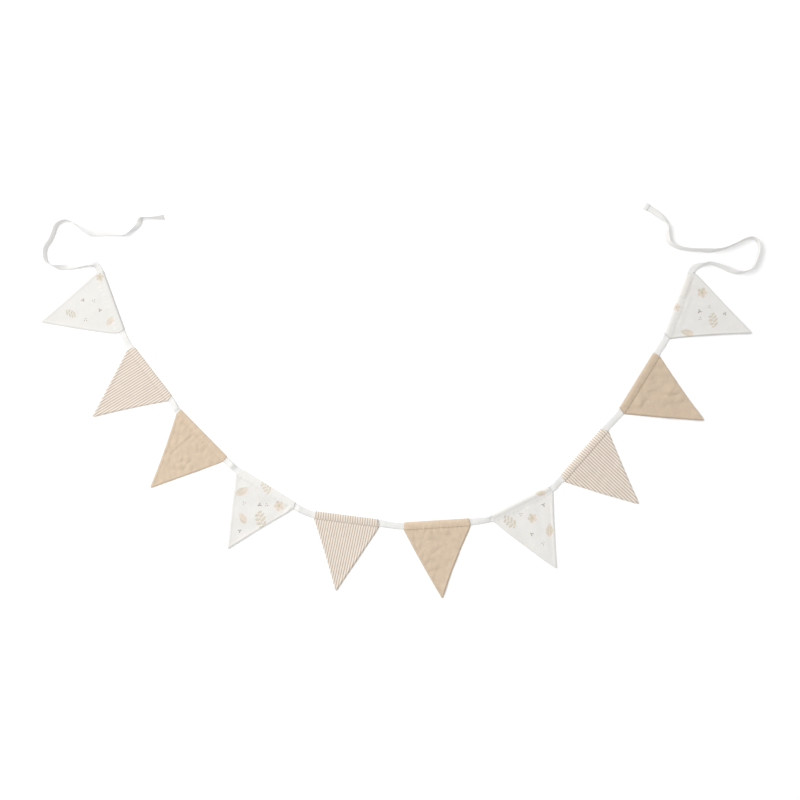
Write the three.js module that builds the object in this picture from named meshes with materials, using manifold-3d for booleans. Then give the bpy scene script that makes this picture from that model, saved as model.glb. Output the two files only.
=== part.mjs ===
// A string of fabric bunting: ten pennants threaded on one flat cotton tape that ends in two loose ties.
// It lies on a surface at Z = 0, in millimetres with +Z up. The origin is under the middle of its outline.
import * as THREE from "three";
import { mergeVertices } from "three/addons/utils/BufferGeometryUtils.js";
import Module from "manifold-3d";

const wasm = await Module();
wasm.setup();

// Tape
const TAPE_WIDTH = 14;
const TAPE_THICKNESS = 1;
const CLEARANCE = 0.3;

// Pennant cloth: two layers sewn together and turned
const CLOTH_THICKNESS = 2.2;
const RIM_INSET = 2.5;
const RIM_DROP = 0.6;
const RIM_RISE = 0.3;
const POINT_SHARE = 0.6; // the point starts to lift this far down the pennant
const CURL_SHARE = 0.2; // this far to each side of its middle line the pennant doesn't curl up
const TIP_HALF_WIDTH = 1.4;
const TIP_ROUND = 3;
const ROUND_A = 1; // how soft the corner at the first end of every casing is
const BODY_ROWS = 9;
const BODY_COLUMNS = 7;

// Casing: the top of the pennant folded over the tape
const CASING_WALL = 1;
const CASING_DEPTH = 17;
const CASING_HEIGHT = 2 * CASING_WALL + 2 * CLEARANCE + TAPE_THICKNESS;
const CASING_FOLD = 1.3;
const FOLD_RISE = 0.9;
const CHANNEL_WIDTH = TAPE_WIDTH + 2 * CLEARANCE;
const CHANNEL_HEIGHT = TAPE_THICKNESS + 2 * CLEARANCE;
const CHANNEL_DOWN = CASING_FOLD + CHANNEL_WIDTH / 2;
const CHANNEL_LEVEL = CASING_HEIGHT / 2;
const CASING_LEAD = 2; // the tape stays straight this far past the end of a casing
const UNDULATION_START = 26; // the cloth is flat from the top edge down to here

// Label
const LABEL_LENGTH = 50;
const LABEL_WIDTH = 13;
const LABEL_THICKNESS = 1;
const LABEL_CORNER = 1;
const CORNER_SEGMENTS = 3;
const LABEL_FROM_END = 4;
const LABEL_DOWN = 8.6;

const COLOURS = {
  print: 0xf3efe8,
  stripe: 0xe2d4c5,
  plain: 0xd6bd9d,
  tape: 0xf1efec,
  label: 0xf4efe6,
};

// Upper face of the casing, going down from the top edge: a flap sewn on the front, a casing turned to the
// back, or a loosely sewn one with a soft valley under it
const CASING_PROFILES = {
  flap: [
    { down: 0, top: 2.7 },
    { down: 1.3, top: CASING_HEIGHT },
    { down: 9, top: CASING_HEIGHT },
    { down: 16.6, top: CASING_HEIGHT },
    { down: 17.4, top: 1.9 },
    { down: 21, top: CLOTH_THICKNESS },
  ],
  turned: [
    { down: 0, top: 2.7 },
    { down: 1.3, top: CASING_HEIGHT },
    { down: 9, top: CASING_HEIGHT },
    { down: 16, top: CASING_HEIGHT },
    { down: 18, top: 2.6 },
    { down: 21, top: CLOTH_THICKNESS },
  ],
  soft: [
    { down: 0, top: 2.6 },
    { down: 1.3, top: CASING_HEIGHT },
    { down: 9, top: CASING_HEIGHT },
    { down: 15.9, top: 3.4 },
    { down: 18.5, top: 2.2 },
    { down: 22, top: 1.9 },
  ],
};

// Pennants in order along the tape. x, y: middle of the top edge. turn: way the top edge runs, in degrees.
// tip: how far the point lies off the middle line. flareA, flareB: how much wider the casing is at its lower
// corner, at its first and second end. swellA, swellB: how far each long side bows out. roundB: how soft the
// corner at the second end is. lift: height of the point above the surface. curlA, curlB: height of the two
// long sides. wave, waveTurn, waveLength: the soft undulation of the cloth.
const PENNANTS = [
  {
    cloth: "print", casing: "turned", x: -682, y: 238, turn: -70.1, width: 147, height: 181.5, tip: -10,
    flareA: 2, flareB: 9.5, swellA: 0, swellB: 1, roundB: 8, lift: 1, curlA: 0, curlB: 1,
    wave: 0.5, waveTurn: 20, waveLength: 90,
  },
  {
    cloth: "stripe", casing: "turned", x: -589, y: 68, turn: -52.4, width: 144, height: 179.9, tip: -2,
    flareA: 6.5, flareB: 6, swellA: 0, swellB: -2.6, roundB: 2.5, lift: 1, curlA: 0, curlB: 1,
    wave: 0.3, waveTurn: 70, waveLength: 110,
  },
  {
    cloth: "plain", casing: "turned", x: -468.5, y: -78.5, turn: -45.6, width: 157, height: 181.9, tip: 4.5,
    flareA: -1, flareB: 3, swellA: -2.4, swellB: 0, roundB: 2.5, lift: 0.5, curlA: 0, curlB: 0.5,
    wave: 0.5, waveTurn: 80, waveLength: 70,
  },
  {
    cloth: "print", casing: "soft", x: -312.5, y: -205.5, turn: -31.9, width: 144, height: 178.9, tip: -5.5,
    flareA: 11.5, flareB: 7, swellA: 0.8, swellB: -2, roundB: 4, lift: 1.2, curlA: 0, curlB: 1.2,
    wave: 0.8, waveTurn: 60, waveLength: 60,
  },
  {
    cloth: "stripe", casing: "flap", x: -128, y: -275, turn: -7.4, width: 149, height: 180.9, tip: -2.8,
    flareA: 3, flareB: 7, swellA: -1.4, swellB: -0.3, roundB: 4, lift: 1, curlA: 0, curlB: 1,
    wave: 0.4, waveTurn: 95, waveLength: 80,
  },
  {
    cloth: "plain", casing: "flap", x: 85, y: -287, turn: 3.6, width: 152.5, height: 185.4, tip: 2.5,
    flareA: 3.5, flareB: 6, swellA: 1.6, swellB: -3.7, roundB: 3, lift: 0.5, curlA: 0, curlB: 1,
    wave: 0.6, waveTurn: 105, waveLength: 65,
  },
  {
    cloth: "print", casing: "soft", x: 283.3, y: -240.2, turn: 26.5, width: 149, height: 182.4, tip: 6.5,
    flareA: 4, flareB: 6.5, swellA: 2.6, swellB: -2.2, roundB: 2.5, lift: 1.2, curlA: 0, curlB: 1.2,
    wave: 0.8, waveTurn: 10, waveLength: 60,
  },
  {
    cloth: "stripe", casing: "flap", x: 428.9, y: -123, turn: 48.8, width: 141, height: 184.4, tip: -3,
    flareA: 10.5, flareB: 9.5, swellA: 1.2, swellB: -1.3, roundB: 2.5, lift: 1.2, curlA: 1, curlB: 0.5,
    wave: 0.4, waveTurn: 85, waveLength: 90,
  },
  {
    cloth: "plain", casing: "flap", x: 560.5, y: 46.5, turn: 58.3, width: 154, height: 186.4, tip: 3.5,
    flareA: 7.2, flareB: 2, swellA: 1, swellB: -2.5, roundB: 2, lift: 2.5, curlA: 1.8, curlB: 1,
    wave: 0.5, waveTurn: 70, waveLength: 75,
  },
  {
    cloth: "print", casing: "soft", x: 653.2, y: 227.7, turn: 69.3, width: 150, height: 193.9, tip: -0.5,
    flareA: 7.8, flareB: 13, swellA: -3, swellB: -1, roundB: 5, lift: 2.5, curlA: 1.6, curlB: 1.2,
    wave: 0.8, waveTurn: 0, waveLength: 55,
  },
];

// How far the tape leans in each gap between two pennants, in degrees, and where in the gap it leans most
const GAPS = [
  { lean: 6, at: 0.5 },
  { lean: 4, at: 0.5 },
  { lean: 18, at: 0.5 },
  { lean: -14, at: 0.35 },
  { lean: -6, at: 0.5 },
  { lean: 26, at: 0.86 },
  { lean: 12, at: 0.6 },
  { lean: 6, at: 0.5 },
  { lean: 4, at: 0.5 },
];
const GAP_STEPS = 6;
const GAP_REACH = 0.2; // how far along a gap the tape keeps to the way of each casing

// The ties, from the casing outwards: a centre point of the tape and how far its left edge leans up there, in
// degrees. It lies flat at 0, stands on edge at 90, and shows its back past that.
const LEFT_TIE = [
  { x: -723, y: 320, lean: 15 },
  { x: -735, y: 325, lean: 45 },
  { x: -751, y: 324, lean: 30 },
  { x: -771, y: 320, lean: 12 },
  { x: -792, y: 316, lean: 0 },
  { x: -811, y: 315, lean: -35 },
  { x: -824, y: 318, lean: -72 },
  { x: -835, y: 323, lean: -96 },
  { x: -843, y: 331, lean: -122 },
  { x: -846.5, y: 347, lean: -133 },
  { x: -843.5, y: 364, lean: -136 },
  { x: -833, y: 379, lean: -136 },
  { x: -825.5, y: 397, lean: -134 },
  { x: -819, y: 414, lean: -130 },
  { x: -807, y: 424, lean: -114 },
  { x: -794, y: 427, lean: -100 },
  { x: -780, y: 422, lean: -90 },
  { x: -763, y: 410, lean: -62 },
  { x: -744, y: 400, lean: -35 },
  { x: -728, y: 396, lean: -5 },
  { x: -706, y: 396, lean: 0 },
  { x: -680, y: 397, lean: -8 },
  { x: -662, y: 397, lean: -30 },
  { x: -650, y: 397.5, lean: -75 },
  { x: -639.5, y: 402, lean: -115 },
  { x: -629.5, y: 409.5, lean: -138 },
  { x: -622.5, y: 419, lean: -153 },
  { x: -619.5, y: 428, lean: -135 },
  { x: -612, y: 433.5, lean: -97 },
  { x: -597, y: 433, lean: -100 },
  { x: -580, y: 433, lean: -118 },
  { x: -562, y: 434, lean: -128 },
];
const RIGHT_TIE = [
  { x: 698, y: 313.2, lean: 5 },
  { x: 708.5, y: 318.5, lean: 26 },
  { x: 722, y: 322, lean: 62 },
  { x: 734, y: 325, lean: 62 },
  { x: 748, y: 322, lean: 58 },
  { x: 765, y: 316, lean: 50 },
  { x: 784, y: 308, lean: 38 },
  { x: 800, y: 303, lean: 54 },
  { x: 819, y: 305, lean: 82 },
  { x: 836, y: 314, lean: 98 },
  { x: 843.5, y: 329, lean: 106 },
  { x: 851, y: 351, lean: 110 },
  { x: 852, y: 366, lean: 112 },
  { x: 848, y: 378, lean: 114 },
  { x: 836, y: 385, lean: 112 },
  { x: 819, y: 382, lean: 106 },
  { x: 796, y: 371, lean: 102 },
  { x: 772, y: 361, lean: 106 },
  { x: 750, y: 356, lean: 116 },
  { x: 731, y: 355, lean: 132 },
  { x: 712, y: 356, lean: 120 },
  { x: 688, y: 357, lean: 118 },
  { x: 665, y: 361, lean: 120 },
  { x: 648.5, y: 367.5, lean: 122 },
  { x: 638, y: 376, lean: 130 },
  { x: 634.5, y: 389, lean: 138 },
  { x: 633.5, y: 402, lean: 126 },
  { x: 635, y: 414, lean: 96 },
  { x: 630, y: 427.5, lean: 52 },
  { x: 617, y: 439, lean: 22 },
  { x: 604, y: 448, lean: 5 },
  { x: 581, y: 462, lean: 0 },
];
const TIE_STEPS = 3; // rings between two rows of a tie
const BACK_FACE = 2; // the side of a ring between its third and fourth corners
const SETTLE = 30; // length over which the tape comes down from casing height to the surface

const { clamp, degToRad, lerp, smoothstep } = THREE.MathUtils;

// One closed skin from two matching grids of points, the upper and the lower face, joined around their rim.
// Rows run towards -Y and columns towards +X.
function sheetGeometry(upper, lower) {
  const rows = upper.length;
  const columns = upper[0].length;
  const points = [...upper.flat(), ...lower.flat()];
  const top = (row, column) => row * columns + column;
  const under = (row, column) => rows * columns + top(row, column);
  const index = [];
  const quad = (a, b, c, d) => index.push(a, b, c, a, c, d);
  for (let row = 0; row < rows - 1; row += 1) {
    for (let column = 0; column < columns - 1; column += 1) {
      quad(top(row, column), top(row + 1, column), top(row + 1, column + 1), top(row, column + 1));
      quad(under(row, column), under(row, column + 1), under(row + 1, column + 1), under(row + 1, column));
    }
    quad(top(row, 0), under(row, 0), under(row + 1, 0), top(row + 1, 0));
    const last = columns - 1;
    quad(top(row, last), top(row + 1, last), under(row + 1, last), under(row, last));
  }
  for (let column = 0; column < columns - 1; column += 1) {
    quad(top(0, column), top(0, column + 1), under(0, column + 1), under(0, column));
    const last = rows - 1;
    quad(top(last, column), under(last, column), under(last, column + 1), top(last, column + 1));
  }
  const geometry = new THREE.BufferGeometry().setFromPoints(points);
  geometry.setIndex(index);
  return geometry;
}

// A closed geometry as a solid that can be cut
function solidOf(geometry) {
  const bare = geometry.clone();
  bare.deleteAttribute("normal");
  bare.deleteAttribute("uv");
  const merged = mergeVertices(bare);
  return new wasm.Manifold(
    new wasm.Mesh({
      numProp: 3,
      vertProperties: merged.attributes.position.array,
      triVerts: new Uint32Array(merged.index.array),
    }),
  );
}

function geometryOf(solid) {
  const mesh = solid.getMesh();
  const geometry = new THREE.BufferGeometry();
  geometry.setAttribute("position", new THREE.BufferAttribute(mesh.vertProperties, 3));
  geometry.setIndex(new THREE.BufferAttribute(mesh.triVerts, 1));
  return geometry;
}

// The lesser of two values, with a soft change from one to the other where they are close
function softLesser(first, second, softness) {
  const apart = Math.abs(first - second) / softness;
  return Math.min(first, second) - softness * Math.log1p(Math.exp(-apart));
}

// Half the width of a pennant on one side, at a distance down from its top edge: the end of the casing flares
// out, and the long side runs in to the point
function halfWidthAt(pennant, down, side) {
  const along = (down - CASING_DEPTH) / (pennant.height - CASING_DEPTH);
  const half = pennant.width / 2;
  const casingEnd = half + (side.flare * down) / CASING_DEPTH;
  const longSide = lerp(half + side.flare, side.tip + TIP_HALF_WIDTH, along);
  const bow = 4 * Math.max(along, 0) * (1 - along);
  return softLesser(casingEnd, longSide, side.round) + side.swell * bow;
}

// The two long sides of a pennant at a distance down from its top edge
function sidesAt(pennant, down) {
  const { flareA, flareB, swellA, swellB, roundB, tip } = pennant;
  return {
    a: -halfWidthAt(pennant, down, { flare: flareA, swell: swellA, round: ROUND_A, tip: -tip }),
    b: halfWidthAt(pennant, down, { flare: flareB, swell: swellB, round: roundB, tip }),
  };
}

// Height of the cloth's underside: flat on the surface, but for the sides that curl up and the lifted point
function undersideAt(pennant, across, down) {
  const pointStart = pennant.height * POINT_SHARE;
  const free = smoothstep(down, UNDULATION_START, pointStart);
  const sideA = smoothstep(0.5 - across, CURL_SHARE, 0.5);
  const sideB = smoothstep(across - 0.5, CURL_SHARE, 0.5);
  const point = smoothstep(down, pointStart, pennant.height);
  const curl = Math.max(pennant.curlA * sideA, pennant.curlB * sideB);
  return Math.max(curl * free, pennant.lift * point);
}

// Thickness of the cloth, with its soft undulation
function thicknessAt(pennant, x, down) {
  const profile = CASING_PROFILES[pennant.casing];
  const after = profile.findIndex((row) => row.down >= down);
  if (after === 0) return profile[0].top;
  if (after > 0) {
    const before = profile[after - 1];
    const next = profile[after];
    return lerp(before.top, next.top, (down - before.down) / (next.down - before.down));
  }
  const turn = degToRad(pennant.waveTurn);
  const distance = x * Math.cos(turn) + down * Math.sin(turn);
  const wave = pennant.wave * Math.sin((2 * Math.PI * distance) / pennant.waveLength);
  const valleyEnd = smoothstep(down, profile.at(-1).down, UNDULATION_START);
  return lerp(profile.at(-1).top, CLOTH_THICKNESS, valleyEnd) + wave * valleyEnd;
}

// Distances down a pennant at which it has a row of points
function pennantRows(pennant) {
  const casing = CASING_PROFILES[pennant.casing].map((row) => row.down);
  const bodyEnd = pennant.height - TIP_ROUND;
  const bodyRow = (i) => lerp(UNDULATION_START, bodyEnd, i / (BODY_ROWS - 1));
  const body = Array.from({ length: BODY_ROWS }, (_, i) => bodyRow(i));
  return [...casing, ...body, pennant.height];
}

function pennantSolid(pennant) {
  const upper = [];
  const lower = [];
  for (const down of pennantRows(pennant)) {
    const { a, b } = sidesAt(pennant, down);
    const inset = Math.min(RIM_INSET, (b - a) / 4);
    const inner = (i) => lerp(a + inset, b - inset, i / (BODY_COLUMNS - 1));
    const columns = [a, ...Array.from({ length: BODY_COLUMNS }, (_, i) => inner(i)), b];
    const isFold = down === 0;
    const isTip = down === pennant.height;
    const topRow = [];
    const underRow = [];
    for (const x of columns) {
      const isRim = x === a || x === b || isTip;
      const under = undersideAt(pennant, (x - a) / (b - a), down);
      const soften = isRim && down > CASING_DEPTH ? 1 : 0;
      const fold = isFold ? FOLD_RISE : 0;
      const top = under + thicknessAt(pennant, x, down) - soften * RIM_DROP;
      topRow.push(new THREE.Vector3(x, -down, top));
      underRow.push(new THREE.Vector3(x, -down, under + soften * RIM_RISE + fold));
    }
    upper.push(topRow);
    lower.push(underRow);
  }
  const channel = new THREE.BoxGeometry(2 * pennant.width, CHANNEL_WIDTH, CHANNEL_HEIGHT);
  channel.translate(0, -CHANNEL_DOWN, CHANNEL_LEVEL);
  return solidOf(sheetGeometry(upper, lower)).subtract(solidOf(channel));
}

// A point of a pennant's own plan, as a place on the surface
function onSurface(pennant, x, down) {
  const turn = degToRad(pennant.turn);
  const middle = new THREE.Vector2(pennant.x, pennant.y);
  return middle.add(new THREE.Vector2(x, -down).rotateAround(new THREE.Vector2(), turn));
}

// Height of the tape's middle where it rests on the surface at a lean
function restingHeight(lean) {
  const angle = degToRad(lean);
  return (TAPE_WIDTH / 2) * Math.abs(Math.sin(angle)) + (TAPE_THICKNESS / 2) * Math.abs(Math.cos(angle));
}

// The four corners of the tape's section at a station with a place, a heading, a height and a lean
function tapeRing({ place, heading, level, lean }) {
  const angle = degToRad(lean);
  const left = new THREE.Vector3(-heading.y, heading.x, 0);
  const up = new THREE.Vector3(0, 0, 1);
  const across = left.clone().multiplyScalar(Math.cos(angle)).addScaledVector(up, Math.sin(angle));
  const normal = left.clone().multiplyScalar(-Math.sin(angle)).addScaledVector(up, Math.cos(angle));
  const corner = (side, face) =>
    new THREE.Vector3(place.x, place.y, level)
      .addScaledVector(across, (side * TAPE_WIDTH) / 2)
      .addScaledVector(normal, (face * TAPE_THICKNESS) / 2);
  return [corner(1, 1), corner(-1, 1), corner(-1, -1), corner(1, -1)];
}

// The tape just past one end of a casing, level with the channel
function casingStation(pennant, end) {
  const turn = degToRad(pennant.turn);
  const { a, b } = sidesAt(pennant, CHANNEL_DOWN + CHANNEL_WIDTH / 2);
  const reach = Math.max(pennant.width / 2, end < 0 ? -a : b);
  return {
    place: onSurface(pennant, end * (reach + CASING_LEAD), CHANNEL_DOWN),
    heading: new THREE.Vector2(Math.cos(turn), Math.sin(turn)),
    level: CHANNEL_LEVEL,
    lean: 0,
  };
}

// The tape between two pennants: it dips to the surface and leans a little on the way
function gapStations(before, after, gap) {
  const start = casingStation(before, 1);
  const end = casingStation(after, -1);
  const reach = start.place.distanceTo(end.place) * GAP_REACH;
  const curve = new THREE.CubicBezierCurve(
    start.place,
    start.place.clone().addScaledVector(start.heading, reach),
    end.place.clone().addScaledVector(end.heading, -reach),
    end.place,
  );
  const stations = [];
  for (let step = 1; step < GAP_STEPS; step += 1) {
    const t = step / GAP_STEPS;
    const lean = gap.lean * (t < gap.at ? smoothstep(t, 0, gap.at) : 1 - smoothstep(t, gap.at, 1));
    const dip = Math.sin(Math.PI * t);
    stations.push({
      place: curve.getPoint(t),
      heading: curve.getTangent(t),
      level: lerp(Math.max(CHANNEL_LEVEL, restingHeight(lean)), restingHeight(lean), dip),
      lean,
    });
  }
  return stations;
}

// A loose tie, outwards from the casing station that it leaves
function tieStations(from, outwards, rows) {
  const inside = from.place.clone().addScaledVector(outwards, -CASING_LEAD);
  const route = [
    { x: inside.x, y: inside.y, lean: 0 },
    { x: from.place.x, y: from.place.y, lean: 0 },
    ...rows,
  ];
  const curve = new THREE.CatmullRomCurve3(route.map((row) => new THREE.Vector3(row.x, row.y, row.lean)));
  const spans = route.length - 1;
  const stations = [];
  for (let step = TIE_STEPS + 1; step <= spans * TIE_STEPS; step += 1) {
    const t = step / (spans * TIE_STEPS);
    const point = curve.getPoint(t);
    const tangent = curve.getTangent(t);
    const place = new THREE.Vector2(point.x, point.y);
    const settled = smoothstep(place.distanceTo(from.place), 0, SETTLE);
    const lift = (CHANNEL_LEVEL - restingHeight(0)) * (1 - settled);
    stations.push({
      place,
      heading: new THREE.Vector2(tangent.x, tangent.y).normalize(),
      level: restingHeight(point.z) + lift,
      lean: point.z,
    });
  }
  return stations;
}

// The same station seen by someone walking the other way along the tape
function turnedRound(station) {
  return { ...station, heading: station.heading.clone().negate(), lean: -station.lean };
}

function tapeStations() {
  const first = casingStation(PENNANTS[0], -1);
  const last = casingStation(PENNANTS.at(-1), 1);
  const leftTie = tieStations(first, first.heading.clone().negate(), LEFT_TIE);
  const stations = leftTie.reverse().map(turnedRound);
  PENNANTS.forEach((pennant, i) => {
    stations.push(casingStation(pennant, -1), casingStation(pennant, 1));
    if (i < GAPS.length) stations.push(...gapStations(pennant, PENNANTS[i + 1], GAPS[i]));
  });
  stations.push(...tieStations(last, last.heading, RIGHT_TIE));
  return stations;
}

// One length of tape: rings of four corners joined along it and closed at both ends. The front and back are
// split along the same diagonal, so that they stay apart where the tape twists.
function tapeGeometry() {
  const rings = tapeStations().map(tapeRing);
  const sides = rings[0].length;
  const index = [];
  const quad = (a, b, c, d) => index.push(a, b, c, a, c, d);
  for (let ring = 0; ring < rings.length - 1; ring += 1) {
    for (let side = 0; side < sides; side += 1) {
      const here = ring * sides;
      const next = here + sides;
      const beside = (side + 1) % sides;
      if (side === BACK_FACE) quad(here + beside, next + beside, next + side, here + side);
      else quad(here + side, here + beside, next + beside, next + side);
    }
  }
  const end = (rings.length - 1) * sides;
  quad(0, 3, 2, 1);
  quad(end, end + 1, end + 2, end + 3);
  const geometry = new THREE.BufferGeometry().setFromPoints(rings.flat());
  geometry.setIndex(index);
  return geometry;
}

// A small flat label with rounded corners
function labelGeometry() {
  const halfLength = LABEL_LENGTH / 2;
  const halfWidth = LABEL_WIDTH / 2;
  const straight = { length: halfLength - LABEL_CORNER, width: halfWidth - LABEL_CORNER };
  const outline = new THREE.Shape();
  outline.absarc(straight.length, straight.width, LABEL_CORNER, 0, Math.PI / 2);
  outline.absarc(-straight.length, straight.width, LABEL_CORNER, Math.PI / 2, Math.PI);
  outline.absarc(-straight.length, -straight.width, LABEL_CORNER, Math.PI, 1.5 * Math.PI);
  outline.absarc(straight.length, -straight.width, LABEL_CORNER, 1.5 * Math.PI, 2 * Math.PI);
  const extrusion = { depth: LABEL_THICKNESS, bevelEnabled: false, curveSegments: CORNER_SEGMENTS };
  return new THREE.ExtrudeGeometry(outline, extrusion);
}

function clothMesh(name, geometry, colour) {
  const material = new THREE.MeshStandardMaterial({ color: colour, roughness: 0.9, metalness: 0 });
  const mesh = new THREE.Mesh(geometry, material);
  mesh.name = name;
  return mesh;
}

const bunting = new THREE.Group();

PENNANTS.forEach((pennant, i) => {
  const name = `pennant_${String(i + 1).padStart(2, "0")}`;
  const mesh = clothMesh(name, geometryOf(pennantSolid(pennant)), COLOURS[pennant.cloth]);
  mesh.position.set(pennant.x, pennant.y, 0);
  mesh.rotation.z = degToRad(pennant.turn);
  bunting.add(mesh);
});

bunting.add(clothMesh("tape", tapeGeometry(), COLOURS.tape));

const labelled = PENNANTS.at(-1);
const labelMiddle = labelled.width / 2 - LABEL_FROM_END - LABEL_LENGTH / 2;
const labelPlace = onSurface(labelled, labelMiddle, LABEL_DOWN);
const label = clothMesh("label", labelGeometry(), COLOURS.label);
label.position.set(labelPlace.x, labelPlace.y, CASING_HEIGHT + CLEARANCE);
label.rotation.z = degToRad(labelled.turn);
bunting.add(label);

export default bunting;
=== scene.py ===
import math
from collections import namedtuple
from types import SimpleNamespace

import bpy
import numpy as np
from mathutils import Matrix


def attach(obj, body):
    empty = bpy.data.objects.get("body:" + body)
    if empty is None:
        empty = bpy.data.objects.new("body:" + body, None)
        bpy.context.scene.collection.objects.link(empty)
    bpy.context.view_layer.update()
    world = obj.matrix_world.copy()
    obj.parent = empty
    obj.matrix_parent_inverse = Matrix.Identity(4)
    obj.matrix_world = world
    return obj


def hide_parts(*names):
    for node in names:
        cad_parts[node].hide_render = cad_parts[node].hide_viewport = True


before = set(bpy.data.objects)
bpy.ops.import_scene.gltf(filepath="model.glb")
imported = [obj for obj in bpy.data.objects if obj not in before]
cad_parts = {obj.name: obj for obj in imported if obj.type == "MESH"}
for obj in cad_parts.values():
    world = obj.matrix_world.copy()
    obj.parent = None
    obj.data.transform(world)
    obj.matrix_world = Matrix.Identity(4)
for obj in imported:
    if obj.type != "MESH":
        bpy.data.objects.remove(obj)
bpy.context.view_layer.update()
MM = 0.001

# Tape
TAPE_WIDTH = 0.014
TAPE_THICKNESS = 0.0009
TAPE_COLUMNS = 12
TAPE_CUP = 0.0010
TIE_STEPS = 8
GAP_STEPS = 28
GAP_REACH = 0.2
SETTLE = 0.03
CASING_LEAD = 0.002
DIP_POWER = 0.6
BULGE_MOST = 0.97

# Hems of the tape: how much thicker and wider the tape gets there, the painted shadow line along the right
# one, under the step of its fold, and where the stitches lie
HEM_LENGTH = 0.010
HEM_STEP = 0.0006
HEM_SWELL = 1.5
HEM_SPREAD = 0.2
HEM_LINE = 0.0007
HEM_STITCH_IN = 0.0015
HEM_STITCH_EDGE = 0.001

# Pennants
CASING_DEPTH = 0.017
CASING_WALL = 0.0006
CLOTH_LEAST = 0.0006
CHANNEL_TOP = 0.0011
CHANNEL_DEPTH = 0.015
CHANNEL_DOWN = 0.0086
CHANNEL_LEVEL = 0.0018
UNDULATION_START = 0.026
POINT_SHARE = 0.6
CURL_SHARE = 0.2
TIP_HALF_WIDTH = 0.0014
TIP_ROUND = 0.003
TIP_BLUNTNESS = 0.85
ROUND_A = 0.001
RIM_ROUND = 0.0034
CASING_RIM = 0.0004
RIM_LEAST = 0.15
RIM_LEVEL = 0.3
RIM_BLEND = 0.004
RIM_SQUEEZE = 4
FOLD_LEVEL = 0.5
FOLD_ROUND = 0.0019
SEAM_RISE = 0.0007
SEAM_IN = 0.0038
SEAM_WIDTH = 0.0026
# A painted shadow line along one edge of some pennants: how far in from the edge, how wide, and how much
# darker
EDGE_SHADE_IN = 0.0016
EDGE_SHADE_WIDTH = 0.0016
EDGE_PAINTED_SHADE = 0.2
TONE_BLEND = 0.0005
LEAST_WIDTH = 1e-6
RIM_STEPS = np.array([0, 0.12, 0.4, 0.9, 1.6, 2.6]) * MM
INNER_COLUMNS = 78
ROW_STEP = 0.0017
CASING_ROWS = np.array(
    [0, 0.1, 0.35, 0.8, 1.4, 2.2, 3.2, 4.5, 6, 7.5, 9, 10.5, 12, 13.3, 14.4, 15.2, 15.7, 16]
    + [16.2, 16.4, 16.7, 17]
) * MM
SEAM_ROWS = np.array([17.3, 17.7, 18.1, 18.6, 19.3, 20.2, 21.5, 23, 24.5]) * MM
TIP_ROWS = np.array([3, 2.2, 1.4, 0.8, 0.35, 0.1, 0]) * MM

# Stitches
STITCH_PITCH = 0.0032
STITCH_LENGTH = 0.0025
STITCH_RADIUS = 0.00028
STITCH_SIDES = 6
STITCH_RINGS = 5
STITCH_END_GAP = 0.003
STITCH_SUNK = 0.7
STITCH_THINNEST = 0.45
SEAM_WANDER = 0.00025
SEAM_WANDER_RATE = 90

# Label
LABEL_LENGTH = 0.05
LABEL_WIDTH = 0.013
LABEL_THICKNESS = 0.0006
LABEL_FROM_END = 0.004
LABEL_DOWN = 0.0086
LABEL_GAP = 0.00025
LABEL_EDGE_STEPS = np.array([0, 0.1, 0.35, 0.8]) * MM
LABEL_INNER = 0.0015
LABEL_COLUMNS = 44
LABEL_ROWS = 12
LABEL_STITCH_IN = 0.002
LABEL_STITCH_EDGE = 0.001
LABEL_STITCHES = 4

# Pennants in order along the tape. How each is cut and placed: the middle of its top edge, the way this edge
# runs, in degrees, and the sizes that are named as in the solids.
Cut = namedtuple("Cut", "x y turn width height tip flare_a flare_b swell_a swell_b round_b")
CUTS = [
    Cut(-0.682, 0.238, -70.1, 0.147, 0.1815, -0.01, 0.002, 0.0095, 0, 0.001, 0.008),
    Cut(-0.589, 0.068, -52.4, 0.144, 0.1799, -0.002, 0.0065, 0.006, 0, -0.0026, 0.0025),
    Cut(-0.4685, -0.0785, -45.6, 0.157, 0.1819, 0.0045, -0.001, 0.003, -0.0024, 0, 0.0025),
    Cut(-0.3125, -0.2055, -31.9, 0.144, 0.1789, -0.0055, 0.0115, 0.007, 0.0008, -0.002, 0.004),
    Cut(-0.128, -0.275, -7.4, 0.149, 0.1809, -0.0028, 0.003, 0.007, -0.0014, -0.0003, 0.004),
    Cut(0.085, -0.287, 3.6, 0.1525, 0.1854, 0.0025, 0.0035, 0.006, 0.0016, -0.0037, 0.003),
    Cut(0.2833, -0.2402, 26.5, 0.149, 0.1824, 0.0065, 0.004, 0.0065, 0.0026, -0.0022, 0.0025),
    Cut(0.4289, -0.123, 48.8, 0.141, 0.1844, -0.003, 0.0105, 0.0095, 0.0012, -0.0013, 0.0025),
    Cut(0.5605, 0.0465, 58.3, 0.154, 0.1864, 0.0035, 0.0072, 0.002, 0.001, -0.0025, 0.002),
    Cut(0.6532, 0.2277, 69.3, 0.15, 0.1939, -0.0005, 0.0078, 0.013, -0.003, -0.001, 0.005),
]

# How each lies: the lift of its point, the curl of its sides and one long wave, named as in the solids
Lie = namedtuple("Lie", "lift curl_a curl_b wave wave_turn wave_length")
LIES = [
    Lie(0.001, 0, 0.001, 0.0005, 20, 0.09),
    Lie(0.001, 0, 0.001, 0.0003, 70, 0.11),
    Lie(0.0005, 0, 0.0005, 0.0005, 80, 0.07),
    Lie(0.0012, 0, 0.0012, 0.0008, 60, 0.06),
    Lie(0.001, 0, 0.001, 0.0004, 95, 0.08),
    Lie(0.0005, 0, 0.001, 0.0006, 105, 0.065),
    Lie(0.0012, 0, 0.0012, 0.0008, 10, 0.06),
    Lie(0.0012, 0.001, 0.0005, 0.0004, 85, 0.09),
    Lie(0.0025, 0.0018, 0.001, 0.0005, 70, 0.075),
    Lie(0.0025, 0.0016, 0.0012, 0.0008, 0, 0.055),
]
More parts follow.
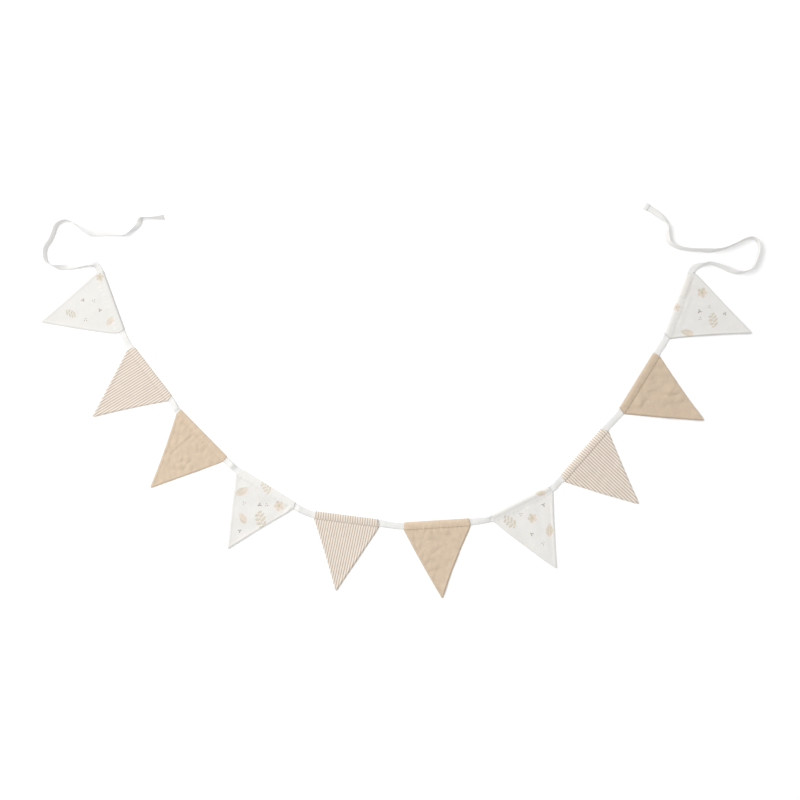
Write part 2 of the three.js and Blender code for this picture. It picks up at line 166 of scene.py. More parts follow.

# What each is sewn from: its cloth and its casing; then painted light and shade over its whole cloth, how
# much lighter or darker it is painted for how the light falls across the row; painted light on its casing,
# how much lighter it is painted, or darker where negative, for how light falls on the rounded casing; how
# uneven its cloth is next to the others; and the edge along which a painted shadow line runs.
Sewing = namedtuple("Sewing", "cloth casing tone casing_tone crumpled deep_edge")
SEWN = [
    Sewing("print", "smooth", 0.972, -0.01, 0.45, "top"),
    Sewing("stripe", "turned", 1.005, 0.02, 1, None),
    Sewing("plain", "turned", 1.036, 0.02, 1.4, None),
    Sewing("print", "soft", 1.022, 0.045, 0.8, None),
    Sewing("stripe", "flap", 1.034, -0.01, 1, "b"),
    Sewing("plain", "flap", 1.035, 0.08, 1.4, "b"),
    Sewing("print", "rolled", 1.02, 0, 0.55, None),
    Sewing("stripe", "flap", 1.01, 0.11, 1.1, None),
    Sewing("plain", "flap", 0.985, 0.03, 1.9, "a"),
    Sewing("print", "soft", 0.975, 0.09, 0.6, "a"),
]

PENNANTS = [
    SimpleNamespace(**cut._asdict(), **lie._asdict(), **sewing._asdict())
    for cut, lie, sewing in zip(CUTS, LIES, SEWN)
]

# Upper face of the casing: distance down from the top edge and height, in millimetres
CASING_TOPS = {
    "flap": [(0, 2.6), (1.2, 3.3), (3, 4.2), (5.5, 4.9), (8, 5.0), (10.5, 4.6), (13, 4.1), (15, 3.6),
             (16.2, 3.0), (16.9, 3.3), (17.3, 2.9), (17.6, 1.1), (19, 1.4), (22, 1.7), (26, 1.7)],
    "turned": [(0, 2.6), (1.2, 3.2), (3, 3.8), (6, 4.1), (9, 4.0), (13, 3.5), (15.6, 3.0), (17, 2.2),
               (17.8, 1.5), (18.8, 1.8), (20.5, 2.0), (26, 1.7)],
    "smooth": [(0, 3.0), (1.2, 3.7), (3, 4.1), (6, 4.1), (9, 3.8), (13, 3.4), (16, 3.0), (20, 2.4), (24, 1.9),
               (26, 1.8)],
    "soft": [(0, 3.0), (1.2, 3.9), (3, 4.6), (6, 5.0), (9, 4.7), (12, 4.0), (14, 3.4), (16.2, 2.8), (18, 2.2),
             (20, 1.8), (22, 1.6), (26, 1.7)],
    "rolled": [(0, 3.0), (1.2, 4.2), (2.8, 5.4), (4.5, 5.9), (6.5, 5.6), (9, 4.8), (11.5, 3.8), (13.4, 3.1),
               (15.6, 2.9), (18, 2.3), (21, 1.9), (26, 1.7)],
}
STITCH_DOWN = {"flap": 0.0162, "turned": 0.0178, "smooth": 0.0180, "soft": 0.0190, "rolled": 0.0180}

# Creases that show, on a pennant's own plan: from one point to another, how wide, and how far the cloth rises
# there, or sinks if negative. All in millimetres.
Crease = namedtuple("Crease", "pennant x0 down0 x1 down1 width rise")
CREASES = [
    Crease(1, -30, 30, 20, 60, 9, 0.40),
    Crease(1, -25, 75, 10, 95, 8, -0.40),
    Crease(2, -47, 45, -32, 100, 8, -0.64),
    Crease(2, 10, 30, 25, 75, 7, 0.48),
    Crease(3, -14, 22, -18, 94, 3.0, -1.12),
    Crease(3, -20, 24, -24, 90, 4.0, 0.72),
    Crease(3, 5, 1, 5, 15, 1.1, 0.88),
    Crease(3, 34, 2, 31, 13, 1.3, 0.56),
    Crease(3, 0, 50, 42, 55, 6.0, -0.64),
    Crease(3, 8, 104, 34, 76, 5.0, 0.56),
    Crease(4, -22, 30, 30, 58, 8.0, 0.64),
    Crease(4, -30, 70, 5, 84, 7.0, -0.56),
    Crease(4, 60, 16, 62, 36, 5.0, -1.12),
    Crease(4, 71, 12, 64, 38, 4.0, 1.60),
    Crease(5, -22, 48, 16, 62, 8.0, -0.64),
    Crease(5, 2, 1, 2, 15, 1.1, 0.80),
    Crease(6, -20, 83, 12, 64, 3.6, -1.28),
    Crease(6, -25, 72, 6, 54, 4.5, 0.80),
    Crease(6, 16, 36, 46, 38, 2.4, -0.56),
    Crease(6, 4.5, 1, 4, 15, 1.1, 0.96),
    Crease(6, -18, 118, 20, 113, 4.5, -0.56),
    Crease(6, -64, 23, 62, 22, 1.6, -0.48),
    Crease(7, 62, 32, 14, 158, 3.0, -0.80),
    Crease(7, 48, 32, 4, 140, 7.0, 0.56),
    Crease(8, -8, 30, 4, 120, 8.0, -0.90),
    Crease(8, 20, 34, 14, 90, 8.0, 0.70),
    Crease(9, -12, 38, 6, 62, 3.6, -1.12),
    Crease(9, 10, 88, 40, 90, 4.0, -0.88),
    Crease(9, 12, 54, 20, 76, 4.5, -0.64),
    Crease(9, -4, 34, 8, 50, 4.5, 0.72),
    Crease(9, 8, 110, 20, 132, 4.0, -0.56),
    Crease(9, -60, 22, 70, 24, 2.0, -0.48),
    Crease(9, -20, 70, -5, 76, 2.2, -0.60),
    Crease(9, 22, 60, 34, 70, 2.2, -0.60),
    Crease(9, -2, 78, 10, 84, 2.2, 0.60),
    Crease(9, 14, 40, 24, 46, 2.0, -0.50),
    Crease(9, -30, 44, -22, 58, 2.5, -0.60),
    Crease(9, 0, 100, 12, 104, 2.4, -0.60),
    Crease(9, -79, 18, -1, 178, 2.6, 1.40),
    Crease(10, -52, 36, 44, 33, 5.0, -0.35),
    Crease(10, -50, 28, 40, 27, 5.0, 0.30),
    Crease(10, -20, 70, 16, 120, 8.0, 0.48),
    Crease(10, -77, 18, -4, 186, 2.6, 1.40),
]
CREASE_FADE = 0.18
CREASE_OVERRUN = 0.12

# Puckers that the casing seam draws into the cloth on both sides of it
PUCKER_HEIGHT = 0.00030
PUCKER_LENGTH = 0.0105
PUCKER_ABOVE = 0.004
PUCKER_BELOW = 0.009
PUCKER_DRIFTS = (210, 133)

# Small irregular unevenness of each cloth: height, shortest and longest wave, in millimetres
CRUMPLE = {"print": (0.45, 18, 50), "stripe": (0.36, 16, 48), "plain": (0.62, 13, 42)}
CRUMPLE_WAVES = 14
CREASED_SHARE = {"print": 0.35, "stripe": 0.25, "plain": 0.75}

# Sharper crinkles in it, and patches in which it is stronger: how much longer than the waves they are, their
# level and their range. On a casing the unevenness is less.
CRINKLE_STRETCH = 1.6
CRINKLE_MEAN = 0.55
PATCH_STRETCH = 3
PATCH_LEAST = 0.35
PATCH_BLEND = 0.9
CASING_CRUMPLE = 0.45

# Stripes of the striped pennants: pitch in millimetres, lean of the stripes on the body and on the casing in
# degrees, and by what share of the pitch they are out of step at the casing seam
Stripes = namedtuple("Stripes", "pitch body casing step")
STRIPES = {
    2: Stripes(5.75, 5.8, -1.0, 0),
    5: Stripes(5.87, 4.6, -2.6, -0.36),
    8: Stripes(6.1, 2.0, -3.4, -0.26),
}
STRIPE_BLEND = 0.0004

# Edge and unevenness of a stripe, as shares of the pitch from its middle, and how it is worn
STRIPE_EDGE = (0.23, 0.13)
STRIPE_WANDER = 0.16
STRIPE_WANDER_SCALE = 60.0
STRIPE_WEAR = (0.12, 0.42)
STRIPE_WEAR_SCALE = 900.0
STRIPE_RELIEF = 0.6

# A generic print of leaf sprigs, blossoms, small dark twigs, dots and broad leaves. x, down and size in
# millimetres, turn in degrees.
SPRIG, BLOSSOM, TWIG, DOTS, LEAF = 1, 2, 3, 4, 5
Motif = namedtuple("Motif", "pennant kind x down turn size")
PRINT = [
    Motif(1, LEAF, 44, 26, 40, 13), Motif(1, SPRIG, -4, 108, -30, 13), Motif(1, BLOSSOM, -62, 14, 10, 11),
    Motif(1, TWIG, -24, 70, 20, 5), Motif(1, TWIG, 12, 40, 80, 5), Motif(1, DOTS, -14, 46, 0, 5),
    Motif(1, DOTS, 22, 80, 30, 5),
    Motif(4, LEAF, -48, 44, -20, 18), Motif(4, BLOSSOM, 44, 28, 0, 14), Motif(4, SPRIG, 24, 78, 60, 20),
    Motif(4, LEAF, -14, 98, 70, 16), Motif(4, TWIG, 4, 50, 0, 5.5), Motif(4, TWIG, -4, 128, 60, 5),
    Motif(4, DOTS, 18, 42, 10, 5), Motif(4, DOTS, -30, 66, 40, 5), Motif(4, SPRIG, -6, 6, 80, 16),
    Motif(7, SPRIG, -44, 34, 40, 18), Motif(7, BLOSSOM, 8, 50, 20, 13), Motif(7, LEAF, 32, 94, -20, 17),
    Motif(7, TWIG, 46, 34, 30, 5.5), Motif(7, TWIG, -10, 84, 0, 5), Motif(7, DOTS, 4, 116, 20, 5),
    Motif(7, DOTS, -12, 30, 0, 5), Motif(7, LEAF, 52, 6, 75, 14),
    Motif(10, LEAF, -54, 50, 15, 17), Motif(10, BLOSSOM, 48, 50, 0, 14), Motif(10, SPRIG, -4, 98, -45, 17),
    Motif(10, BLOSSOM, -6, 5, 10, 11), Motif(10, TWIG, 4, 60, 40, 5.5), Motif(10, TWIG, 20, 118, 0, 5),
    Motif(10, DOTS, -12, 68, 15, 5), Motif(10, DOTS, 22, 78, 0, 5),
]

# Shapes of the motifs, as shares of a motif's size. Each edge is where the ink ends and where it is full.
STEM_SWAY = 0.12
STEM_TURNS = 2.2
STEM_EDGE = (0.06, 0.03)
SPRIG_END = (0.98, 0.9)
LEAFLET_EVERY = 0.5
LEAFLET_STAGGER = 0.12
LEAFLET_START = 0.1
LEAFLET_TILT = math.radians(24)
LEAFLET_REACH = 0.78
LEAFLET_TAPER = 0.34
LEAFLET_WIDTH = 0.72
LEAFLET_EDGE = (-0.02, 0.03)
LEAF_SWAY = 0.14
LEAF_SKEW = -0.3
LEAF_WIDTH = 0.5
LEAF_EDGE = (-0.03, 0.05)
RIB_EDGE = (0.07, 0.02)
RIB_PALENESS = 0.5
HEART_EDGE = (0.26, 0.2)
DOTS_AWAY = 0.6
DOT_EDGE = (0.3, 0.22)
Lobes = namedtuple("Lobes", "count power length start edge")
PETALS = Lobes(5, 0.6, 0.5, 0.42, (-0.04, 0.08))
TREFOIL = Lobes(3, 1.4, 0.85, 0.1, (-0.05, 0.06))

# Unevenness of the print's ink, and the change from one ink to another
WASH_SCALE = 260.0
WASH_EDGE = (0.1, 0.75)
WASH_LEAST = 0.25
WASH_RANGE = 0.44
INK_SCALE = 34.0
INK_EDGE = (0.42, 0.58)
KIND_MATCH = 0.4

# Threads of the cloths and of the tape: scales of noise, sizes, heights and shares of shade
SLUB_FINE = 1200
SLUB_LONG = 70
SLUB_GAIN = 3
SLUB_HEIGHT = 1.2
LINT_SCALE = 420.0
LINT_HEIGHT = 1.2
PLY_SCALE = 2500.0
PLY_SHADE = 0.3
TWILL_PITCH = 0.0013
TWILL_TURN = 0.0035
TWILL_SHADE = 0.012
SELVEDGE = (0.0058, 0.0062)
SELVEDGE_HEIGHT = 1.5
# Painted shade along both edges of the tape, where they turn from the light.
SELVEDGE_PAINTED_SHADE = 0.07
# A painted shadow line along the right hem, under the step of its fold.
HEM_PAINTED_SHADOW = 0.3

# The tape in each gap between two pennants: how far it leans, in degrees, and where in the gap it leans most;
# how high it arches, in millimetres, and where
Gap = namedtuple("Gap", "lean lean_at arch arch_at")
GAPS = [
    Gap(6, 0.5, 0.4, 0.3),
    Gap(16, 0.5, 2.0, 0.78),
    Gap(18, 0.5, 3.0, 0.54),
    Gap(-14, 0.35, 3.2, 0.2),
    Gap(-6, 0.5, 1.6, 0.18),
    Gap(26, 0.86, 0.6, 0.3),
    Gap(12, 0.6, 1.4, 0.3),
    Gap(6, 0.5, 0.5, 0.4),
    Gap(4, 0.5, 0.9, 0.5),
]
ARCH_REACH = 0.15

# The ties, from the casing outwards: a centre point of the tape and how far its left edge leans up there, in
# degrees
LEFT_TIE = [
    (-0.723, 0.32, 15), (-0.735, 0.325, 45), (-0.751, 0.324, 30), (-0.771, 0.32, 12),
    (-0.792, 0.316, 0), (-0.811, 0.315, -35), (-0.824, 0.318, -72), (-0.835, 0.323, -96),
    (-0.843, 0.331, -122), (-0.8465, 0.347, -133), (-0.8435, 0.364, -136), (-0.833, 0.379, -136),
    (-0.8255, 0.397, -134), (-0.819, 0.414, -130), (-0.807, 0.424, -114), (-0.794, 0.427, -100),
    (-0.78, 0.422, -90), (-0.763, 0.41, -62), (-0.744, 0.4, -35), (-0.728, 0.396, -5),
    (-0.706, 0.396, 0), (-0.68, 0.397, -8), (-0.662, 0.397, -30), (-0.65, 0.3975, -75),
    (-0.6395, 0.402, -115), (-0.6295, 0.4095, -138), (-0.6225, 0.419, -153), (-0.6195, 0.428, -135),
    (-0.612, 0.4335, -97), (-0.597, 0.433, -100), (-0.58, 0.433, -118), (-0.562, 0.434, -128),
]
RIGHT_TIE = [
    (0.698, 0.3132, 5), (0.7085, 0.3185, 26), (0.722, 0.322, 62), (0.734, 0.325, 62),
    (0.748, 0.322, 58), (0.765, 0.316, 50), (0.784, 0.308, 38), (0.8, 0.303, 54),
    (0.819, 0.305, 82), (0.836, 0.314, 98), (0.8435, 0.329, 106), (0.851, 0.351, 110),
    (0.852, 0.366, 112), (0.848, 0.378, 114), (0.836, 0.385, 112), (0.819, 0.382, 106),
    (0.796, 0.371, 102), (0.772, 0.361, 106), (0.75, 0.356, 116), (0.731, 0.355, 132),
    (0.712, 0.356, 120), (0.688, 0.357, 118), (0.665, 0.361, 120), (0.6485, 0.3675, 122),
    (0.638, 0.376, 130), (0.6345, 0.389, 138), (0.6335, 0.402, 126), (0.635, 0.414, 96),
    (0.63, 0.4275, 52), (0.617, 0.439, 22), (0.604, 0.448, 5), (0.581, 0.462, 0),
]

# Colours of the materials, as linear light
PRINT_WHITE = (0.705, 0.690, 0.662)
MOTIF_OCHRE = (0.515, 0.425, 0.275)
MOTIF_PEACH = (0.635, 0.495, 0.365)
MOTIF_SAGE = (0.456, 0.406, 0.283)
MOTIF_BROWN = (0.130, 0.095, 0.075)
STRIPE_CREAM = (0.690, 0.630, 0.560)
STRIPE_BROWN = (0.450, 0.362, 0.285)
STRIPE_THREAD = (0.590, 0.515, 0.440)
PLAIN_BEIGE = (0.555, 0.445, 0.335)
PLAIN_THREAD = (0.640, 0.530, 0.410)
TAPE_WHITE = (0.718, 0.712, 0.696)
LABEL_CREAM = (0.735, 0.712, 0.675)
THREAD_WHITE = (0.740, 0.710, 0.670)
FLOOR_WHITE = (0.95, 0.95, 0.95)

# Camera and light
CAMERA_PLACE = (-0.0018, -0.0006, 5.0)
VIEW_WIDTH = 1.904
SENSOR_WIDTH = 36.0
LIGHT_DISTANCE = 5.2
Light = namedtuple("Light", "name bearing_deg rise_deg size power")
LIGHTS = [Light("key", 134, 38, 3.6, 118), Light("soft_box", 172, 46, 3.6, 64)]
WORLD_LIGHT = 0.83
FLOOR_SIZE = 40
FLOOR_DROP = 0.0004


def smoothstep(value, low, high):
    t = np.clip((value - low) / (high - low), 0, 1)
    return t * t * (3 - 2 * t)


# Shape of a pennant


def half_width_at(pennant, down, flare, swell, corner, tip):
    """Half the width on one side: the casing's end flares out, and the long side runs in to the point."""
    along = (down - CASING_DEPTH) / (pennant.height - CASING_DEPTH)
    half = pennant.width / 2
    casing_end = half + flare * down / CASING_DEPTH
    long_side = (half + flare) * (1 - along) + (tip + TIP_HALF_WIDTH) * along
    bow = 4 * np.maximum(along, 0) * (1 - along)
    return -corner * np.logaddexp(-casing_end / corner, -long_side / corner) + swell * bow


def sides_at(pennant, down):
    """The two long sides at a distance down from the top edge, with the point rounded off."""
    a = -half_width_at(pennant, down, pennant.flare_a, pennant.swell_a, ROUND_A, -pennant.tip)
    b = half_width_at(pennant, down, pennant.flare_b, pennant.swell_b, pennant.round_b, pennant.tip)
    into_tip = np.clip((down - pennant.height + TIP_ROUND) / TIP_ROUND, 0, 1)
    pull = (b - a) / 2 * (1 - np.sqrt(1 - TIP_BLUNTNESS * into_tip**2))
    return a + pull, b - pull


def underside_at(pennant, across, down):
    """Height of the underside: flat, but for the sides that curl up and the lifted point."""
    point_start = pennant.height * POINT_SHARE
    free = smoothstep(down, UNDULATION_START, point_start)
    side_a = smoothstep(0.5 - across, CURL_SHARE, 0.5)
    side_b = smoothstep(across - 0.5, CURL_SHARE, 0.5)
    point = smoothstep(down, point_start, pennant.height)
    curl = np.maximum(pennant.curl_a * side_a, pennant.curl_b * side_b)
    return np.maximum(curl * free, pennant.lift * point)


def crease_rise(number, x, down):
    """How far the creases of a pennant raise its upper face."""
    total = np.zeros(np.broadcast(x, down).shape)
    for crease in CREASES:
        if crease.pennant != number:
            continue
        start = np.array([crease.x0, crease.down0]) * MM
        run = np.array([crease.x1, crease.down1]) * MM - start
        length = np.hypot(*run)
        along = ((x - start[0]) * run[0] + (down - start[1]) * run[1]) / length**2
        off = ((x - start[0]) * run[1] - (down - start[1]) * run[0]) / length
        fade_in = smoothstep(along, -CREASE_OVERRUN, CREASE_FADE)
        fade_out = smoothstep(along, 1 - CREASE_FADE, 1 + CREASE_OVERRUN)
        ridge = np.exp(-((off / (crease.width * MM)) ** 2))
        total = total + crease.rise * MM * ridge * fade_in * (1 - fade_out)
    return total


def crumple(seed, cloth, x, down):
    """Small irregular unevenness of a cloth, the same on every run: soft waves and sharper folds."""
    height, shortest, longest = CRUMPLE[cloth]
    random = np.random.default_rng(seed)
    soft = np.zeros(np.broadcast(x, down).shape)
    sharp = np.zeros_like(soft)
    patch = np.zeros_like(soft)
    for _ in range(CRUMPLE_WAVES):
        angle = random.uniform(0, math.pi)
        length = random.uniform(shortest, longest) * MM
        phase = random.uniform(0, 2 * math.pi)
        turns = 2 * math.pi * (x * math.cos(angle) + down * math.sin(angle)) / length
        soft += np.sin(turns + phase)
        sharp += np.sin(turns / CRINKLE_STRETCH + 3 * phase)
        patch += np.sin(turns / PATCH_STRETCH + 2 * phase)
    soft, sharp, patch = (field / math.sqrt(CRUMPLE_WAVES) for field in (soft, sharp, patch))
    patchy = PATCH_LEAST + (1 - PATCH_LEAST) * smoothstep(patch, -PATCH_BLEND, PATCH_BLEND)
    creased = CREASED_SHARE[cloth]
    crinkles = 2 * (np.abs(sharp) - CRINKLE_MEAN)
    return height * MM * patchy * ((1 - creased / 2) * soft + creased * crinkles)


def pucker(seed, x, down):
    """Short pulls in the cloth along the casing seam."""
    drift = np.sin(x * PUCKER_DRIFTS[0] + seed) + np.sin(x * PUCKER_DRIFTS[1] + 2 * seed)
    below = down - CASING_DEPTH
    reach = np.exp(-((below / np.where(below > 0, PUCKER_BELOW, PUCKER_ABOVE)) ** 2))
    return PUCKER_HEIGHT * np.sin(2 * math.pi * x / PUCKER_LENGTH + drift) * reach


def thickness_at(number, x, down):
    """Height of the upper face over the underside, away from the rim."""
    pennant = PENNANTS[number - 1]
    profile = np.array(CASING_TOPS[pennant.casing]) * MM
    casing = np.interp(down, profile[:, 0], profile[:, 1])
    turn = math.radians(pennant.wave_turn)
    distance = x * math.cos(turn) + down * math.sin(turn)
    wave = pennant.wave * np.sin(2 * math.pi * distance / pennant.wave_length)
    below = smoothstep(down, CASING_DEPTH, UNDULATION_START)
    share = CASING_CRUMPLE + (1 - CASING_CRUMPLE) * below
    uneven = pennant.crumpled * crumple(number, pennant.cloth, x, down) * share
    thickness = casing + wave * below + uneven + crease_rise(number, x, down) + pucker(number, x, down)
    return np.maximum(thickness, CLOTH_LEAST)


def faces_at(number, x, down):
    """Heights of the upper and the lower face."""
    pennant = PENNANTS[number - 1]
    a, b = sides_at(pennant, down)
    width = np.maximum(b - a, LEAST_WIDTH)
    across = np.clip((x - a) / width, 0, 1)
    slope = pennant.width / 2 / (pennant.height - CASING_DEPTH)
    edge = np.minimum(x - a, b - x) / math.hypot(1, slope)
    edge = np.minimum(edge, pennant.height - down)
    body = smoothstep(down, CASING_DEPTH, CASING_DEPTH + RIM_BLEND)
    rim_reach = CASING_RIM + (RIM_ROUND - CASING_RIM) * body
    rim = 1 - (1 - np.clip(edge / rim_reach, 0, 1)) ** 2
    fold = np.sqrt(1 - (1 - np.clip(down / FOLD_ROUND, 0, 1)) ** 2)
    rounding = np.maximum(rim * fold, RIM_LEAST)
    level = FOLD_LEVEL + (RIM_LEVEL - FOLD_LEVEL) * body
    seam = SEAM_RISE * np.exp(-(((edge - SEAM_IN) / SEAM_WIDTH) ** 2)) * body
    thickness = thickness_at(number, x, down) + seam
    under = underside_at(pennant, across, down)
    return under + thickness * (level + (1 - level) * rounding), under + thickness * level * (1 - rounding)


def placed(pennant, x, down, height):
    """Points of a pennant's own plan, where they lie in the scene."""
    turn = math.radians(pennant.turn)
    return np.stack(
        [
            pennant.x + x * math.cos(turn) + down * math.sin(turn),
            pennant.y + x * math.sin(turn) - down * math.cos(turn),
            height,
        ],
        axis=-1,
    )


# Meshes


def grid_faces(index, flipped=False):
    """Faces of a grid of vertex numbers."""
    corners = [index[:-1, :-1], index[1:, :-1], index[1:, 1:], index[:-1, 1:]]
    quads = np.stack(corners, axis=-1).reshape(-1, 4)
    return quads[:, ::-1] if flipped else quads


def strip_faces(near, far, flipped=False):
    """Faces between two lines of vertex numbers."""
    return grid_faces(np.stack([near, far]), flipped)


def closed_sheet(top, under, flipped=False):
    """Points and faces of a thin sheet between two grids of points, closed all round."""
    rows, columns = top.shape[:2]
    top_index = np.arange(rows * columns).reshape(rows, columns)
    under_index = top_index + rows * columns
    faces = [
        grid_faces(top_index, flipped),
        grid_faces(under_index, not flipped),
        strip_faces(top_index[0], under_index[0], not flipped),
        strip_faces(top_index[-1], under_index[-1], flipped),
        strip_faces(top_index[:, 0], under_index[:, 0], flipped),
        strip_faces(top_index[:, -1], under_index[:, -1], not flipped),
    ]
    points = np.concatenate([top.reshape(-1, 3), under.reshape(-1, 3)])
    return points, np.concatenate(faces).tolist()


def store(piece, name, values, domain="POINT"):
    """Stores a number or a vector with each point or face corner of a piece, for its material to read."""
    kind, field = ("FLOAT", "value") if values.ndim == 1 else ("FLOAT_VECTOR", "vector")
    attribute = piece.data.attributes.new(name, kind, domain)
    attribute.data.foreach_set(field, values.astype(np.float32).ravel())


def new_piece(name, points, faces, material):
    """A smooth mesh object that rides on the part's one body."""
    mesh = bpy.data.meshes.new(name)
    mesh.from_pydata(points.tolist(), [], faces)
    mesh.polygons.foreach_set("use_smooth", np.ones(len(mesh.polygons), bool))
    mesh.materials.append(material)
    mesh.update()
    piece = bpy.data.objects.new(name, mesh)
    bpy.context.scene.collection.objects.link(piece)
    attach(piece, "root")
    return piece


def flat_plan(x, down):
    """The places of points on the flat cloth."""
    return np.stack([x, down, np.zeros_like(x)], axis=-1).reshape(-1, 3)


def pennant_grid(pennant):
    """Rows and columns of points on a pennant's own plan."""
    body_end = pennant.height - TIP_ROWS[0]
    steps = round((body_end - UNDULATION_START) / ROW_STEP)
    body = np.linspace(UNDULATION_START, body_end, steps + 1)[:-1]
    rows = np.concatenate([CASING_ROWS, SEAM_ROWS, body, pennant.height - TIP_ROWS])
    a, b = sides_at(pennant, rows)
    squeeze = np.minimum(1, (b - a) / (RIM_SQUEEZE * RIM_STEPS[-1]))
    left = a[:, None] + RIM_STEPS * squeeze[:, None]
    right = b[:, None] - RIM_STEPS[::-1] * squeeze[:, None]
    share = np.linspace(0, 1, INNER_COLUMNS + 2)[1:-1]
    middle = left[:, -1:] + (right[:, :1] - left[:, -1:]) * share
    x = np.concatenate([left, middle, right], axis=1)
    return x, np.repeat(rows[:, None], x.shape[1], axis=1)


def add_print(piece, number, plan):
    """Stores with each face corner where it lies in the motif that is nearest to the face."""
    mesh = piece.data
    corners = np.zeros(len(mesh.loops), np.int32)
    mesh.loops.foreach_get("vertex_index", corners)
    corner_points = plan[corners.reshape(-1, 4)]
    centres = corner_points.mean(axis=1)
    motifs = [motif for motif in PRINT if motif.pennant == number]
    away = []
    for motif in motifs:
        middle = np.array([motif.x, motif.down]) * MM
        away.append(np.linalg.norm(centres[:, :2] - middle, axis=1) / motif.size)
    owner = np.argmin(away, axis=0)
    places = np.zeros_like(corner_points)
    for i, motif in enumerate(motifs):
        mine = owner == i
        turn = math.radians(motif.turn)
        dx = (corner_points[mine, :, 0] - motif.x * MM) / (motif.size * MM)
        dy = (motif.down * MM - corner_points[mine, :, 1]) / (motif.size * MM)
        places[mine, :, 0] = dx * math.cos(turn) + dy * math.sin(turn)
        places[mine, :, 1] = dy * math.cos(turn) - dx * math.sin(turn)
        places[mine, :, 2] = motif.kind
    store(piece, "motif", places, "CORNER")


def add_stripes(piece, number, plan):
    """Stores with each point how many stripes it lies from the middle of the pennant."""
    stripes = STRIPES[number]
    x, down = plan[:, 0], plan[:, 1]
    on_casing = 1 - smoothstep(down, CASING_DEPTH, CASING_DEPTH + STRIPE_BLEND)
    above_seam = np.minimum(down - CASING_DEPTH, 0)
    body_lean = math.tan(math.radians(stripes.body))
    casing_lean = math.tan(math.radians(stripes.casing))
    shift = body_lean * (down - above_seam) + casing_lean * above_seam
    store(piece, "stripe", (x + shift) / (stripes.pitch * MM) + stripes.step * on_casing)


def add_tone(piece, pennant, plan):
    """Stores with each point the painted light and shade of its cloth: all over, on the casing and along one
    edge.
    """
    x, down = plan[:, 0], plan[:, 1]
    # Painted light on the casing: its cloth lighter, or darker where negative, for how light falls on its
    # roll.
    on_casing = 1 - smoothstep(down, CASING_DEPTH - TONE_BLEND, CASING_DEPTH + TONE_BLEND)
    # Painted light and shade: the whole cloth lighter or darker for how the light falls across the row.
    tone = pennant.tone * (1 + pennant.casing_tone * on_casing)
    a, b = sides_at(pennant, down)
    from_edge = {"a": x - a, "b": b - x, "top": down}
    # A painted shadow line along the edge that turns away from the light.
    if pennant.deep_edge:
        line = (from_edge[pennant.deep_edge] - EDGE_SHADE_IN) / EDGE_SHADE_WIDTH
        tone = tone * (1 - EDGE_PAINTED_SHADE * np.exp(-(line**2)))
    store(piece, "tone", tone)


def make_pennant(number, material):
    """One pennant: its two sewn layers as one closed sheet, with the casing open at both ends."""
    pennant = PENNANTS[number - 1]
    x, down = pennant_grid(pennant)
    rows, columns = x.shape
    top, under = faces_at(number, x, down)
    casing = len(CASING_ROWS)
    tunnel_x = x[:casing]
    tunnel_down = CHANNEL_TOP + down[:casing] / CASING_DEPTH * CHANNEL_DEPTH
    roof, base = faces_at(number, tunnel_x, tunnel_down)
    count = rows * columns
    top_index = np.arange(count).reshape(rows, columns)
    under_index = top_index + count
    roof_index = np.arange(casing * columns).reshape(casing, columns) + 2 * count
    base_index = roof_index + casing * columns
    points = np.concatenate(
        [
            placed(pennant, x, down, top).reshape(-1, 3),
            placed(pennant, x, down, under).reshape(-1, 3),
            placed(pennant, tunnel_x, tunnel_down, roof - CASING_WALL).reshape(-1, 3),
            placed(pennant, tunnel_x, tunnel_down, base + CASING_WALL).reshape(-1, 3),
        ]
    )
    faces = [
        grid_faces(top_index),
        grid_faces(under_index, True),
        grid_faces(roof_index, True),
        grid_faces(base_index),
        strip_faces(under_index[0], top_index[0]),
        strip_faces(top_index[-1], under_index[-1]),
        strip_faces(roof_index[0], base_index[0]),
        strip_faces(roof_index[-1], base_index[-1], True),
    ]
    body = slice(casing - 1, None)
    for column, flipped in ((0, False), (-1, True)):
        faces.append(strip_faces(top_index[body, column], under_index[body, column], flipped))
        ring = np.concatenate([top_index[:casing, column], under_index[casing - 1 :: -1, column]])
        hole = np.concatenate([roof_index[:, column], base_index[::-1, column]])
        ring = np.append(ring, ring[0])
        hole = np.append(hole, hole[0])
        faces.append(strip_faces(ring, hole, flipped))
    plan = np.concatenate([flat_plan(x, down)] * 2 + [flat_plan(tunnel_x, tunnel_down)] * 2)
    name = f"pennant_{number:02d}"
    piece = new_piece(f"{name}_cloth", points, np.concatenate(faces).tolist(), material)
    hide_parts(name)
    store(piece, "plan", plan)
    add_tone(piece, pennant, plan)
    if pennant.cloth == "print":
        add_print(piece, number, plan)
    if pennant.cloth == "stripe":
        add_stripes(piece, number, plan)
    return piece


def stitches(starts, ends, ups):
    """Points and faces of a row of short stitches: bowed threads that dip into the cloth at both ends."""
    points = []
    faces = []
    around = np.linspace(0, 2 * math.pi, STITCH_SIDES, endpoint=False)
    for start, end, up in zip(starts, ends, ups):
        along = (end - start) / np.linalg.norm(end - start)
        side = np.cross(up, along)
        first = sum(len(p) for p in points)
        for ring in range(STITCH_RINGS):
            t = ring / (STITCH_RINGS - 1)
            bow = 1 - (2 * t - 1) ** 2
            centre = start + (end - start) * t + up * STITCH_RADIUS * (bow - STITCH_SUNK)
            radius = STITCH_RADIUS * (STITCH_THINNEST + (1 - STITCH_THINNEST) * bow)
            spokes = np.cos(around)[:, None] * side + np.sin(around)[:, None] * up
            points.append(centre + radius * spokes)
        index = np.arange(STITCH_RINGS * STITCH_SIDES).reshape(STITCH_RINGS, STITCH_SIDES) + first
        closed = np.concatenate([index, index[:, :1]], axis=1)
        faces.extend(grid_faces(closed, True).tolist())
        faces.append(index[0, ::-1].tolist())
        faces.append(index[-1].tolist())
    return np.concatenate(points), faces


def stitch_piece(name, starts, ends, ups, material):
    """A row of stitches as one piece."""
    points, faces = stitches(starts, ends, ups)
    return new_piece(name, points, faces, material)


